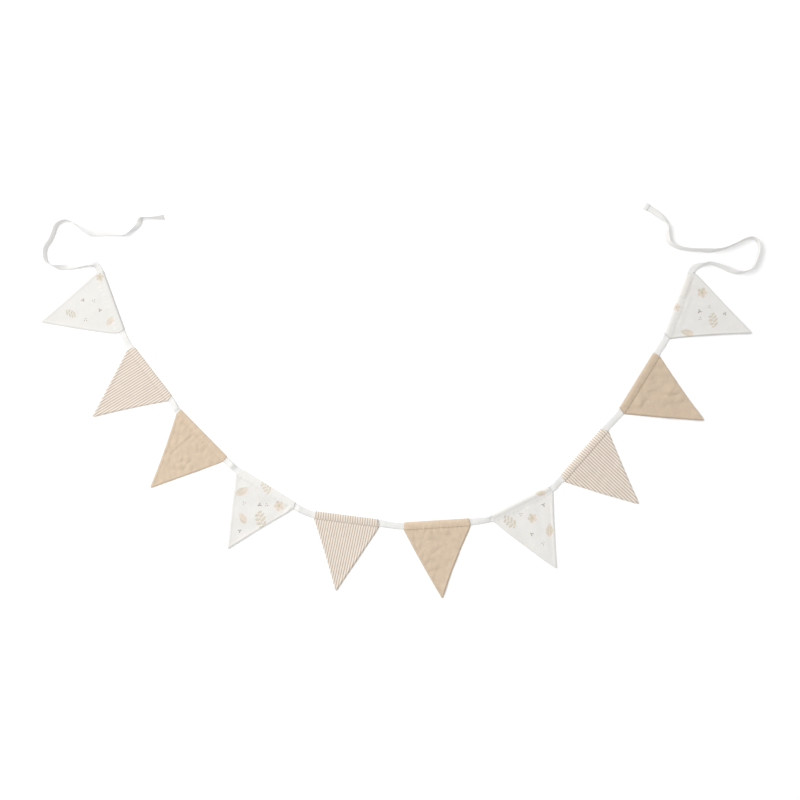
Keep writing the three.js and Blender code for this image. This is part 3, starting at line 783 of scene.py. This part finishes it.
def casing_stitches(number, material):
    """The row of stitches that holds a casing, on the front of the pennant."""
    pennant = PENNANTS[number - 1]
    row = STITCH_DOWN[pennant.casing]
    a, b = sides_at(pennant, np.array(row))
    first = np.arange(a + STITCH_END_GAP, b - STITCH_END_GAP - STITCH_LENGTH, STITCH_PITCH)
    wander = SEAM_WANDER * np.sin(first * SEAM_WANDER_RATE + number)
    ends = []
    for x in (first, first + STITCH_LENGTH):
        top, _ = faces_at(number, x, np.full(len(x), row) + wander)
        ends.append(placed(pennant, x, row + wander, top))
    ups = np.tile([0.0, 0.0, 1.0], (len(first), 1))
    return stitch_piece(f"pennant_{number:02d}_stitches", ends[0], ends[1], ups, material)


# Tape


def resting_height(lean):
    """Height of the tape's middle where its lower edge touches the surface."""
    angle = np.radians(lean)
    return TAPE_WIDTH / 2 * np.abs(np.sin(angle)) + TAPE_THICKNESS / 2 * np.abs(np.cos(angle))


def casing_station(pennant, end):
    """Place and heading of the tape just past one end of a casing."""
    turn = math.radians(pennant.turn)
    a, b = sides_at(pennant, CHANNEL_TOP + CHANNEL_DEPTH)
    x = end * (max(pennant.width / 2, -a if end < 0 else b) + CASING_LEAD)
    return placed(pennant, x, CHANNEL_DOWN, CHANNEL_LEVEL)[:2], np.array([math.cos(turn), math.sin(turn)])


def station(place, heading, level, lean, loose=0):
    """A place on the tape's way. loose: 0 where a casing holds the tape flat, 1 where it is free to cup."""
    heading = heading / np.hypot(*heading)
    return SimpleNamespace(place=place, heading=heading, level=level, lean=lean, loose=loose)


def gap_stations(before, after, gap):
    """The tape between two pennants: it dips to the surface, and leans and arches a little on the way."""
    start, out = casing_station(before, 1)
    end, into = casing_station(after, -1)
    reach = np.hypot(*(end - start)) * GAP_REACH
    corners = [start, start + out * reach, end - into * reach, end]
    legs = [corners[i + 1] - corners[i] for i in range(3)]
    stations = []
    for step in range(1, GAP_STEPS):
        t = step / GAP_STEPS
        weights = [(1 - t) ** 3, 3 * t * (1 - t) ** 2, 3 * t * t * (1 - t), t**3]
        place = sum(w * c for w, c in zip(weights, corners))
        heading = (1 - t) ** 2 * legs[0] + 2 * t * (1 - t) * legs[1] + t * t * legs[2]
        swing = smoothstep(t, 0, gap.lean_at) if t < gap.lean_at else 1 - smoothstep(t, gap.lean_at, 1)
        rest = resting_height(gap.lean * swing)
        dip = math.sin(math.pi * t) ** DIP_POWER
        arch = gap.arch * MM * math.exp(-(((t - gap.arch_at) / ARCH_REACH) ** 2)) * dip
        level = max(CHANNEL_LEVEL, rest) * (1 - dip) + rest * dip + arch
        stations.append(station(place, heading, level, gap.lean * swing, dip))
    return stations


def curve_point(points, span, t):
    """A point on the smooth curve through the points, and the curve's direction there."""
    before = points[span - 1] if span > 0 else 2 * points[0] - points[1]
    after = points[span + 2] if span + 2 < len(points) else 2 * points[-1] - points[-2]
    p0, p1, p2, p3 = before, points[span], points[span + 1], after
    d0, d1, d2 = (np.linalg.norm(b - a) ** 0.5 for a, b in ((p0, p1), (p1, p2), (p2, p3)))
    t1 = ((p1 - p0) / d0 - (p2 - p0) / (d0 + d1) + (p2 - p1) / d1) * d1
    t2 = ((p2 - p1) / d1 - (p3 - p1) / (d1 + d2) + (p3 - p2) / d2) * d1
    square = -3 * p1 + 3 * p2 - 2 * t1 - t2
    cube = 2 * p1 - 2 * p2 + t1 + t2
    return p1 + t1 * t + square * t**2 + cube * t**3, t1 + 2 * square * t + 3 * cube * t**2


def tie_stations(pennant, end, rows):
    """A loose tie, outwards from the casing that it leaves."""
    start, heading = casing_station(pennant, end)
    inside = start - end * heading * CASING_LEAD
    route = [(*(inside / MM), 0), (*(start / MM), 0)]
    route = np.array(route + [(x / MM, y / MM, lean) for x, y, lean in rows])
    stations = []
    for span in range(1, len(route) - 1):
        for step in range(1, TIE_STEPS + 1):
            point, direction = curve_point(route, span, step / TIE_STEPS)
            place = point[:2] * MM
            settled = smoothstep(np.hypot(*(place - start)), 0, SETTLE)
            lift = (CHANNEL_LEVEL - TAPE_THICKNESS / 2) * (1 - settled)
            level = resting_height(point[2]) + lift
            stations.append(station(place, direction[:2], level, point[2], settled))
    return stations


def tape_stations():
    """The tape's whole way from the end of the left tie to the end of the right one."""
    left = tie_stations(PENNANTS[0], -1, LEFT_TIE)
    stations = [station(s.place, -s.heading, s.level, -s.lean, s.loose) for s in reversed(left)]
    for i, pennant in enumerate(PENNANTS):
        for end in (-1, 1):
            place, heading = casing_station(pennant, end)
            stations.append(station(place, heading, CHANNEL_LEVEL, 0))
        if i < len(GAPS):
            stations.extend(gap_stations(pennant, PENNANTS[i + 1], GAPS[i]))
    return stations + tie_stations(PENNANTS[-1], 1, RIGHT_TIE)


def tape_frames():
    """Centres of the tape's sections, the directions across it, longer at the hems, and out of its face, how
    far it is cupped towards the side that shows, and the length up to each section."""
    stations = tape_stations()
    centre = np.array([(*s.place, s.level) for s in stations])
    heading = np.array([s.heading for s in stations])
    lean = np.radians([s.lean for s in stations])[:, None]
    left = np.stack([-heading[:, 1], heading[:, 0], np.zeros(len(stations))], axis=1)
    up = np.array([0.0, 0.0, 1.0])
    across = np.cos(lean) * left + np.sin(lean) * up
    out = -np.sin(lean) * left + np.cos(lean) * up
    cup = TAPE_CUP * np.array([s.loose for s in stations]) * np.clip(2 * np.cos(lean[:, 0]), -1, 1)
    length = np.concatenate([[0], np.cumsum(np.linalg.norm(np.diff(centre, axis=0), axis=1))])
    from_end = np.minimum(length, length[-1] - length)
    spread = 1 + HEM_SPREAD * (1 - smoothstep(from_end, HEM_LENGTH / 2, 2 * HEM_LENGTH))
    centre[:, 2] += (spread - 1) * TAPE_WIDTH / 2 * np.abs(across[:, 2])
    return centre, across * spread[:, None], out, cup, length


def make_tape(material):
    """The whole length of tape, thicker at the hem at each end. Returns it and its length."""
    centre, across, out, cup, length = tape_frames()
    half = TAPE_WIDTH / 2
    offset = half * np.cos(np.linspace(0, math.pi, TAPE_COLUMNS))
    into_edge = (np.abs(offset) - half) / (TAPE_THICKNESS / 2) + 1
    depth = TAPE_THICKNESS / 2 * np.sqrt(1 - np.clip(into_edge, 0, BULGE_MOST) ** 2)
    from_end = np.minimum(length, length[-1] - length)
    swell = 1 + HEM_SWELL * (1 - smoothstep(from_end, HEM_LENGTH, HEM_LENGTH + HEM_STEP))
    cupped = cup[:, None] * (1 - (offset / half) ** 2)
    middle = centre[:, None] + across[:, None] * offset[:, None]
    front = middle + out[:, None] * (cupped + depth * swell[:, None])[..., None]
    back = middle + out[:, None] * (cupped - depth)[..., None]
    points, faces = closed_sheet(front, back, True)
    piece = new_piece("tape_cloth", points, faces, material)
    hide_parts("tape")
    plan = np.zeros(front.shape)
    plan[..., 0] = offset
    plan[..., 1] = length[:, None]
    plan[..., 2] = length[-1] - length[:, None]
    store(piece, "plan", np.concatenate([plan.reshape(-1, 3)] * 2))
    return piece, float(length[-1])


def hem_stitches(material):
    """A row of stitches across each end of the tape, where its hem is turned in."""
    centre, across, out, cup, length = tape_frames()
    starts = []
    ends = []
    ups = []
    inset = HEM_LENGTH - HEM_STITCH_IN
    edge = TAPE_WIDTH / 2
    for target in (inset, length[-1] - inset):
        i = int(np.argmin(np.abs(length - target)))
        thick = TAPE_THICKNESS / 2 * (1 + HEM_SWELL)
        for s in np.arange(HEM_STITCH_EDGE - edge, edge - STITCH_LENGTH, STITCH_PITCH):
            for row, place in ((starts, s), (ends, s + STITCH_LENGTH)):
                cupped = cup[i] * (1 - (2 * place / TAPE_WIDTH) ** 2)
                row.append(centre[i] + across[i] * place + out[i] * (cupped + thick))
            ups.append(out[i])
    return stitch_piece("tape_hem_stitches", starts, ends, ups, material)


# Label


def label_middle():
    """Where the middle of the label lies along the last casing."""
    return PENNANTS[-1].width / 2 - LABEL_FROM_END - LABEL_LENGTH / 2


def label_steps(size, inner):
    """Places from 0 to a size, closer together at both ends."""
    middle = np.linspace(LABEL_INNER, size - LABEL_INNER, inner)
    return np.concatenate([LABEL_EDGE_STEPS, middle, size - LABEL_EDGE_STEPS[::-1]])


def make_label(material):
    """The small bare label, sewn flat on the last casing."""
    pennant = PENNANTS[-1]
    lengthwise = label_steps(LABEL_LENGTH, LABEL_COLUMNS)
    crosswise = label_steps(LABEL_WIDTH, LABEL_ROWS)
    x = label_middle() - LABEL_LENGTH / 2 + lengthwise[None, :]
    down = LABEL_DOWN - LABEL_WIDTH / 2 + crosswise[:, None]
    x, down = np.broadcast_arrays(x, down)
    from_ends = np.minimum(lengthwise, LABEL_LENGTH - lengthwise)
    from_sides = np.minimum(crosswise, LABEL_WIDTH - crosswise)
    edge = np.minimum(from_ends[None, :], from_sides[:, None])
    rim = np.maximum(np.sqrt(1 - (1 - np.clip(edge / LABEL_THICKNESS, 0, 1)) ** 2), RIM_LEAST)
    cloth, _ = faces_at(len(PENNANTS), x, down)
    middle = cloth + LABEL_GAP + LABEL_THICKNESS / 2
    top = placed(pennant, x, down, middle + rim * LABEL_THICKNESS / 2)
    under = placed(pennant, x, down, middle - rim * LABEL_THICKNESS / 2)
    points, faces = closed_sheet(top, under)
    piece = new_piece("label_cloth", points, faces, material)
    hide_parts("label")
    store(piece, "plan", np.concatenate([flat_plan(x, down)] * 2))
    return piece


def label_stitches(material):
    """A short row of stitches at each end of the label."""
    number = len(PENNANTS)
    starts = []
    ends = []
    for side in (-1, 1):
        x = label_middle() + side * (LABEL_LENGTH / 2 - LABEL_STITCH_IN)
        first = LABEL_DOWN - LABEL_WIDTH / 2 + LABEL_STITCH_EDGE + STITCH_PITCH * np.arange(LABEL_STITCHES)
        for row, down in ((starts, first), (ends, first + STITCH_LENGTH)):
            cloth, _ = faces_at(number, np.full(len(down), x), down)
            row.extend(placed(PENNANTS[-1], x + 0 * down, down, cloth + LABEL_GAP + LABEL_THICKNESS))
    ups = np.tile([0.0, 0.0, 1.0], (len(starts), 1))
    return stitch_piece("label_stitches", starts, ends, ups, material)


# Materials


# Sockets of a mix node that mixes colours
MIX_SHARE, MIX_A, MIX_B, MIX_RESULT = 0, 6, 7, 2


class Nodes:
    """A material's node tree, with short calls for the nodes that it is made of."""

    def __init__(self, name, roughness, specular, sheen):
        self.material = bpy.data.materials.new(name)
        self.material.use_nodes = True
        self.tree = self.material.node_tree
        self.shader = self.tree.nodes["Principled BSDF"]
        self.shader.inputs["Roughness"].default_value = roughness
        self.shader.inputs["Specular IOR Level"].default_value = specular
        self.shader.inputs["Sheen Weight"].default_value = sheen

    def fill(self, socket, value):
        if isinstance(value, bpy.types.NodeSocket):
            self.tree.links.new(value, socket)
        elif isinstance(value, tuple) and len(value) == 3 and socket.type == "RGBA":
            socket.default_value = (*value, 1)
        else:
            socket.default_value = value

    def make(self, kind, inputs, **settings):
        node = self.tree.nodes.new(kind)
        for key, value in settings.items():
            setattr(node, key, value)
        for key, value in inputs.items():
            self.fill(node.inputs[key], value)
        return node

    def math(self, operation, *values):
        node = self.tree.nodes.new("ShaderNodeMath")
        node.operation = operation
        for socket, value in zip(node.inputs, values):
            self.fill(socket, value)
        return node.outputs[0]

    def add(self, a, b):
        return self.math("ADD", a, b)

    def sub(self, a, b):
        return self.math("SUBTRACT", a, b)

    def mul(self, a, b):
        return self.math("MULTIPLY", a, b)

    def abs(self, a):
        return self.math("ABSOLUTE", a)

    def distance(self, p, q):
        return self.math("SQRT", self.add(self.mul(p, p), self.mul(q, q)))

    def attribute(self, name, output):
        return self.make("ShaderNodeAttribute", {}, attribute_name=name).outputs[output]

    def parts(self, vector):
        return self.make("ShaderNodeSeparateXYZ", {"Vector": vector}).outputs

    def scaled(self, vector, x, y):
        node = self.make("ShaderNodeVectorMath", {0: vector, 1: (x, y, 1)}, operation="MULTIPLY")
        return node.outputs["Vector"]

    def noise(self, vector, scale, detail=2.0):
        inputs = {"Vector": vector, "Scale": scale, "Detail": detail}
        return self.make("ShaderNodeTexNoise", inputs).outputs["Fac"]

    def step(self, value, low, high):
        inputs = {"Value": value, "From Min": low, "From Max": high}
        return self.make("ShaderNodeMapRange", inputs, interpolation_type="SMOOTHSTEP").outputs["Result"]

    def mix(self, share, a, b, blend="MIX"):
        inputs = {MIX_SHARE: share, MIX_A: a, MIX_B: b}
        node = self.tree.nodes.new("ShaderNodeMix")
        node.data_type = "RGBA"
        node.blend_type = blend
        for socket, value in inputs.items():
            self.fill(node.inputs[socket], value)
        return node.outputs[MIX_RESULT]

    def shaded(self, colour, amount):
        """The colour, brighter or darker by a factor."""
        grey = self.make("ShaderNodeCombineXYZ", {"X": amount, "Y": amount, "Z": amount}).outputs["Vector"]
        return self.mix(1.0, colour, grey, "MULTIPLY")

    def finish(self, colour, height, strength, distance):
        self.fill(self.shader.inputs["Base Color"], colour)
        inputs = {"Height": height, "Strength": strength, "Distance": distance}
        bump = self.make("ShaderNodeBump", inputs)
        self.fill(self.shader.inputs["Normal"], bump.outputs["Normal"])
        return self.material


def weave(nodes, plan, pitch):
    """Height of a plain weave: threads that go over and under each other."""
    x, down, _ = nodes.parts(plan)
    turn = 2 * math.pi / pitch
    warp = nodes.math("SINE", nodes.mul(x, turn))
    weft = nodes.math("SINE", nodes.mul(down, turn))
    return nodes.mul(warp, weft)


def slubs(nodes, plan):
    """Uneven threads along and across the cloth, from about -1 to 1."""
    along = nodes.noise(nodes.scaled(plan, SLUB_FINE, SLUB_LONG), 1.0)
    across = nodes.noise(nodes.scaled(plan, SLUB_LONG, SLUB_FINE), 1.0)
    return nodes.mul(nodes.sub(nodes.add(along, across), 1), SLUB_GAIN)


def cloth_shade(nodes, plan, slub_share, mottle_share, mottle_size):
    """A factor near 1 that varies over the cloth with its threads and its dyeing."""
    threads = nodes.mul(slubs(nodes, plan), slub_share)
    mottle = nodes.sub(nodes.noise(plan, 1 / mottle_size, 3.0), 0.5)
    mottle = nodes.mul(mottle, 2 * mottle_share)
    return nodes.add(nodes.add(threads, mottle), 1)


def toned(nodes, shade):
    """The shade of a pennant's cloth, times the painted light and shade stored on the pennant."""
    return nodes.mul(shade, nodes.attribute("tone", "Fac"))


def plain_cloth():
    nodes = Nodes("beige_cotton", roughness=0.92, specular=0.15, sheen=0.06)
    plan = nodes.attribute("plan", "Vector")
    shade = toned(nodes, cloth_shade(nodes, plan, slub_share=0.085, mottle_share=0.09, mottle_size=0.02))
    threads = nodes.add(weave(nodes, plan, pitch=0.0011), nodes.mul(slubs(nodes, plan), SLUB_HEIGHT))
    return nodes.finish(nodes.shaded(PLAIN_BEIGE, shade), threads, strength=0.35, distance=0.00012)


def striped_cloth():
    """Brown stripes on cream, uneven along their edges and worn between the threads."""
    nodes = Nodes("striped_cotton", roughness=0.92, specular=0.15, sheen=0.06)
    plan = nodes.attribute("plan", "Vector")
    count = nodes.attribute("stripe", "Fac")
    wander = nodes.mul(nodes.sub(nodes.noise(plan, STRIPE_WANDER_SCALE), 0.5), STRIPE_WANDER)
    place = nodes.math("FRACT", nodes.add(count, wander))
    line = nodes.step(nodes.abs(nodes.sub(place, 0.5)), *STRIPE_EDGE)
    worn = nodes.mul(line, nodes.step(nodes.noise(plan, STRIPE_WEAR_SCALE), *STRIPE_WEAR))
    colour = nodes.mix(worn, STRIPE_CREAM, STRIPE_BROWN)
    shade = toned(nodes, cloth_shade(nodes, plan, slub_share=0.025, mottle_share=0.035, mottle_size=0.016))
    threads = nodes.add(weave(nodes, plan, pitch=0.0010), nodes.mul(line, STRIPE_RELIEF))
    return nodes.finish(nodes.shaded(colour, shade), threads, strength=0.3, distance=0.00011)


def sprig_mask(nodes, p, q):
    """A sprig along q from -1 to 1: a swaying stem with leaflets on both sides."""
    sway = nodes.mul(nodes.math("SINE", nodes.mul(q, STEM_TURNS)), STEM_SWAY)
    bent = nodes.sub(p, sway)
    out = nodes.abs(bent)
    side = nodes.mul(nodes.math("SIGN", bent), LEAFLET_STAGGER)
    cell = nodes.math("WRAP", nodes.sub(q, side), LEAFLET_EVERY, 0.0)
    low = nodes.sub(cell, LEAFLET_START)
    cosine, sine = math.cos(LEAFLET_TILT), math.sin(LEAFLET_TILT)
    along = nodes.add(nodes.mul(out, cosine), nodes.mul(low, sine))
    off = nodes.sub(nodes.mul(low, cosine), nodes.mul(out, sine))
    reach = nodes.sub(LEAFLET_REACH, nodes.mul(nodes.mul(q, q), LEAFLET_TAPER))
    share = nodes.math("DIVIDE", along, reach)
    width = nodes.mul(nodes.mul(share, nodes.sub(1, share)), LEAFLET_WIDTH)
    leaflet = nodes.step(nodes.sub(width, nodes.abs(off)), *LEAFLET_EDGE)
    stem = nodes.step(out, *STEM_EDGE)
    within = nodes.step(nodes.abs(q), *SPRIG_END)
    return nodes.mul(nodes.math("MAXIMUM", leaflet, stem), within)


def broad_leaf_mask(nodes, p, q):
    """One wide leaf along q from -1 to 1, with a paler rib."""
    off = nodes.abs(nodes.sub(p, nodes.mul(nodes.math("SINE", q), LEAF_SWAY)))
    length = nodes.sub(1, nodes.mul(q, q))
    skew = nodes.add(nodes.mul(q, LEAF_SKEW), 1)
    width = nodes.mul(nodes.mul(length, skew), LEAF_WIDTH)
    blade = nodes.step(nodes.sub(width, off), *LEAF_EDGE)
    rib = nodes.mul(nodes.step(off, *RIB_EDGE), RIB_PALENESS)
    return nodes.mul(blade, nodes.sub(1, rib))


def lobes_mask(nodes, far, angle, lobes):
    """Round lobes about a middle."""
    lobe = nodes.abs(nodes.math("COSINE", nodes.mul(angle, lobes.count / 2)))
    reach = nodes.add(nodes.mul(nodes.math("POWER", lobe, lobes.power), lobes.length), lobes.start)
    return nodes.step(nodes.sub(reach, far), *lobes.edge)


def dots_mask(nodes, far, angle):
    """Three dots about a middle."""
    third = nodes.math("WRAP", angle, math.pi / 3, -math.pi / 3)
    dot_p = nodes.sub(nodes.mul(far, nodes.math("COSINE", third)), DOTS_AWAY)
    dot_q = nodes.mul(far, nodes.math("SINE", third))
    return nodes.step(nodes.distance(dot_p, dot_q), *DOT_EDGE)


def printed_cloth():
    """White cotton with motifs in washed inks."""
    nodes = Nodes("printed_cotton", roughness=0.93, specular=0.15, sheen=0.08)
    plan = nodes.attribute("plan", "Vector")
    p, q, kind = nodes.parts(nodes.attribute("motif", "Vector"))
    far = nodes.distance(p, q)
    angle = nodes.math("ARCTAN2", q, p)
    wash = nodes.step(nodes.noise(plan, WASH_SCALE, 3.0), *WASH_EDGE)
    wash = nodes.add(nodes.mul(wash, WASH_RANGE), WASH_LEAST)
    tone = nodes.step(nodes.noise(plan, INK_SCALE, 0.0), *INK_EDGE)
    warm = nodes.mix(tone, MOTIF_PEACH, MOTIF_OCHRE)
    layers = (
        (SPRIG, sprig_mask(nodes, p, q), nodes.mix(tone, MOTIF_OCHRE, MOTIF_SAGE)),
        (BLOSSOM, lobes_mask(nodes, far, angle, PETALS), warm),
        (BLOSSOM, nodes.step(far, *HEART_EDGE), MOTIF_SAGE),
        (TWIG, lobes_mask(nodes, far, angle, TREFOIL), MOTIF_BROWN),
        (DOTS, dots_mask(nodes, far, angle), MOTIF_BROWN),
        (LEAF, broad_leaf_mask(nodes, p, q), warm),
    )
    colour = PRINT_WHITE
    for wanted, mask, ink in layers:
        chosen = nodes.math("COMPARE", kind, float(wanted), KIND_MATCH)
        colour = nodes.mix(nodes.mul(nodes.mul(mask, chosen), wash), colour, ink)
    shade = toned(nodes, cloth_shade(nodes, plan, slub_share=0.015, mottle_share=0.03, mottle_size=0.018))
    lint = nodes.mul(nodes.noise(plan, LINT_SCALE, 3.0), LINT_HEIGHT)
    threads = nodes.add(weave(nodes, plan, pitch=0.0009), lint)
    return nodes.finish(nodes.shaded(colour, shade), threads, strength=0.4, distance=0.00016)


def tape_cloth():
    """White tape in a herringbone twill, with two selvedges, painted shade along both edges and a painted
    shadow line along the right hem.
    """
    nodes = Nodes("white_tape", roughness=0.9, specular=0.18, sheen=0.06)
    plan = nodes.attribute("plan", "Vector")
    across, along, to_end = nodes.parts(plan)
    slant = nodes.add(along, nodes.math("PINGPONG", across, TWILL_TURN))
    twill = nodes.math("SINE", nodes.mul(slant, 2 * math.pi / TWILL_PITCH))
    # The selvedges: a raised edge in the bump, and painted shade in the colour.
    selvedge_and_shade = nodes.step(nodes.abs(across), *SELVEDGE)
    # A painted shadow line along the right hem, under the step of its fold.
    hem = nodes.step(nodes.abs(nodes.sub(to_end, HEM_LENGTH)), 2 * HEM_LINE, HEM_LINE)
    shade = cloth_shade(nodes, plan, slub_share=0.015, mottle_share=0.03, mottle_size=0.02)
    for mask, change in ((twill, TWILL_SHADE), (selvedge_and_shade, -SELVEDGE_PAINTED_SHADE), (hem, -HEM_PAINTED_SHADOW)):
        shade = nodes.add(shade, nodes.mul(mask, change))
    height = nodes.add(twill, nodes.mul(selvedge_and_shade, SELVEDGE_HEIGHT))
    return nodes.finish(nodes.shaded(TAPE_WHITE, shade), height, strength=0.3, distance=0.0001)


def label_cloth():
    nodes = Nodes("label_cloth", roughness=0.8, specular=0.25, sheen=0.05)
    plan = nodes.attribute("plan", "Vector")
    shade = cloth_shade(nodes, plan, slub_share=0.012, mottle_share=0.02, mottle_size=0.01)
    threads = weave(nodes, plan, pitch=0.0006)
    return nodes.finish(nodes.shaded(LABEL_CREAM, shade), threads, strength=0.3, distance=0.00008)


def thread(name, colour):
    """Twisted sewing thread."""
    nodes = Nodes(name, roughness=0.7, specular=0.3, sheen=0.05)
    place = nodes.make("ShaderNodeTexCoord", {}).outputs["Object"]
    ply = nodes.noise(place, PLY_SCALE)
    shade = nodes.add(nodes.mul(ply, PLY_SHADE), 1 - PLY_SHADE / 2)
    return nodes.finish(nodes.shaded(colour, shade), ply, strength=0.3, distance=0.00005)


# Stage


def make_floor():
    """A plain pale floor just under the part."""
    half = FLOOR_SIZE / 2
    mesh = bpy.data.meshes.new("floor")
    corners = [(-half, -half), (half, -half), (half, half), (-half, half)]
    mesh.from_pydata([(x, y, -FLOOR_DROP) for x, y in corners], [], [(0, 1, 2, 3)])
    nodes = Nodes("floor_white", roughness=0.9, specular=0.1, sheen=0.0)
    nodes.fill(nodes.shader.inputs["Base Color"], FLOOR_WHITE)
    mesh.materials.append(nodes.material)
    floor = bpy.data.objects.new("floor", mesh)
    bpy.context.scene.collection.objects.link(floor)


def make_lights():
    """Two large soft lights from the same side, and an even light from all round."""
    for row in LIGHTS:
        bearing = math.radians(row.bearing_deg)
        rise = math.radians(row.rise_deg)
        data = bpy.data.lights.new(row.name, "AREA")
        data.shape = "DISK"
        data.size = row.size
        data.energy = row.power
        light = bpy.data.objects.new(row.name, data)
        light.location = (
            LIGHT_DISTANCE * math.cos(rise) * math.cos(bearing),
            LIGHT_DISTANCE * math.cos(rise) * math.sin(bearing),
            LIGHT_DISTANCE * math.sin(rise),
        )
        light.rotation_mode = "QUATERNION"
        light.rotation_quaternion = light.location.to_track_quat("Z", "Y")
        bpy.context.scene.collection.objects.link(light)
    world = bpy.data.worlds.new("studio")
    world.use_nodes = True
    background = world.node_tree.nodes["Background"]
    background.inputs["Color"].default_value = (1, 1, 1, 1)
    background.inputs["Strength"].default_value = WORLD_LIGHT
    bpy.context.scene.world = world


def make_camera():
    """A camera straight above, as in the photo."""
    data = bpy.data.cameras.new("camera")
    data.sensor_width = SENSOR_WIDTH
    data.lens = SENSOR_WIDTH * CAMERA_PLACE[2] / VIEW_WIDTH
    camera = bpy.data.objects.new("camera", data)
    camera.location = CAMERA_PLACE
    bpy.context.scene.collection.objects.link(camera)
    bpy.context.scene.camera = camera
    bpy.context.scene.view_settings.view_transform = "Standard"


make_camera()
make_lights()
make_floor()

CLOTHS = {
    "print": (printed_cloth(), thread("white_thread", THREAD_WHITE), "printed_cotton"),
    "stripe": (striped_cloth(), thread("cream_thread", STRIPE_THREAD), "striped_cotton"),
    "plain": (plain_cloth(), thread("beige_thread", PLAIN_THREAD), "beige_cotton"),
}
for number, pennant in enumerate(PENNANTS, 1):
    cloth, sewing, slot = CLOTHS[pennant.cloth]
    piece = make_pennant(number, cloth)
    seam = casing_stitches(number, sewing)

tape, tape_length = make_tape(tape_cloth())
tape_seams = hem_stitches(CLOTHS["print"][1])

label = make_label(label_cloth())
label_seams = label_stitches(CLOTHS["print"][1])
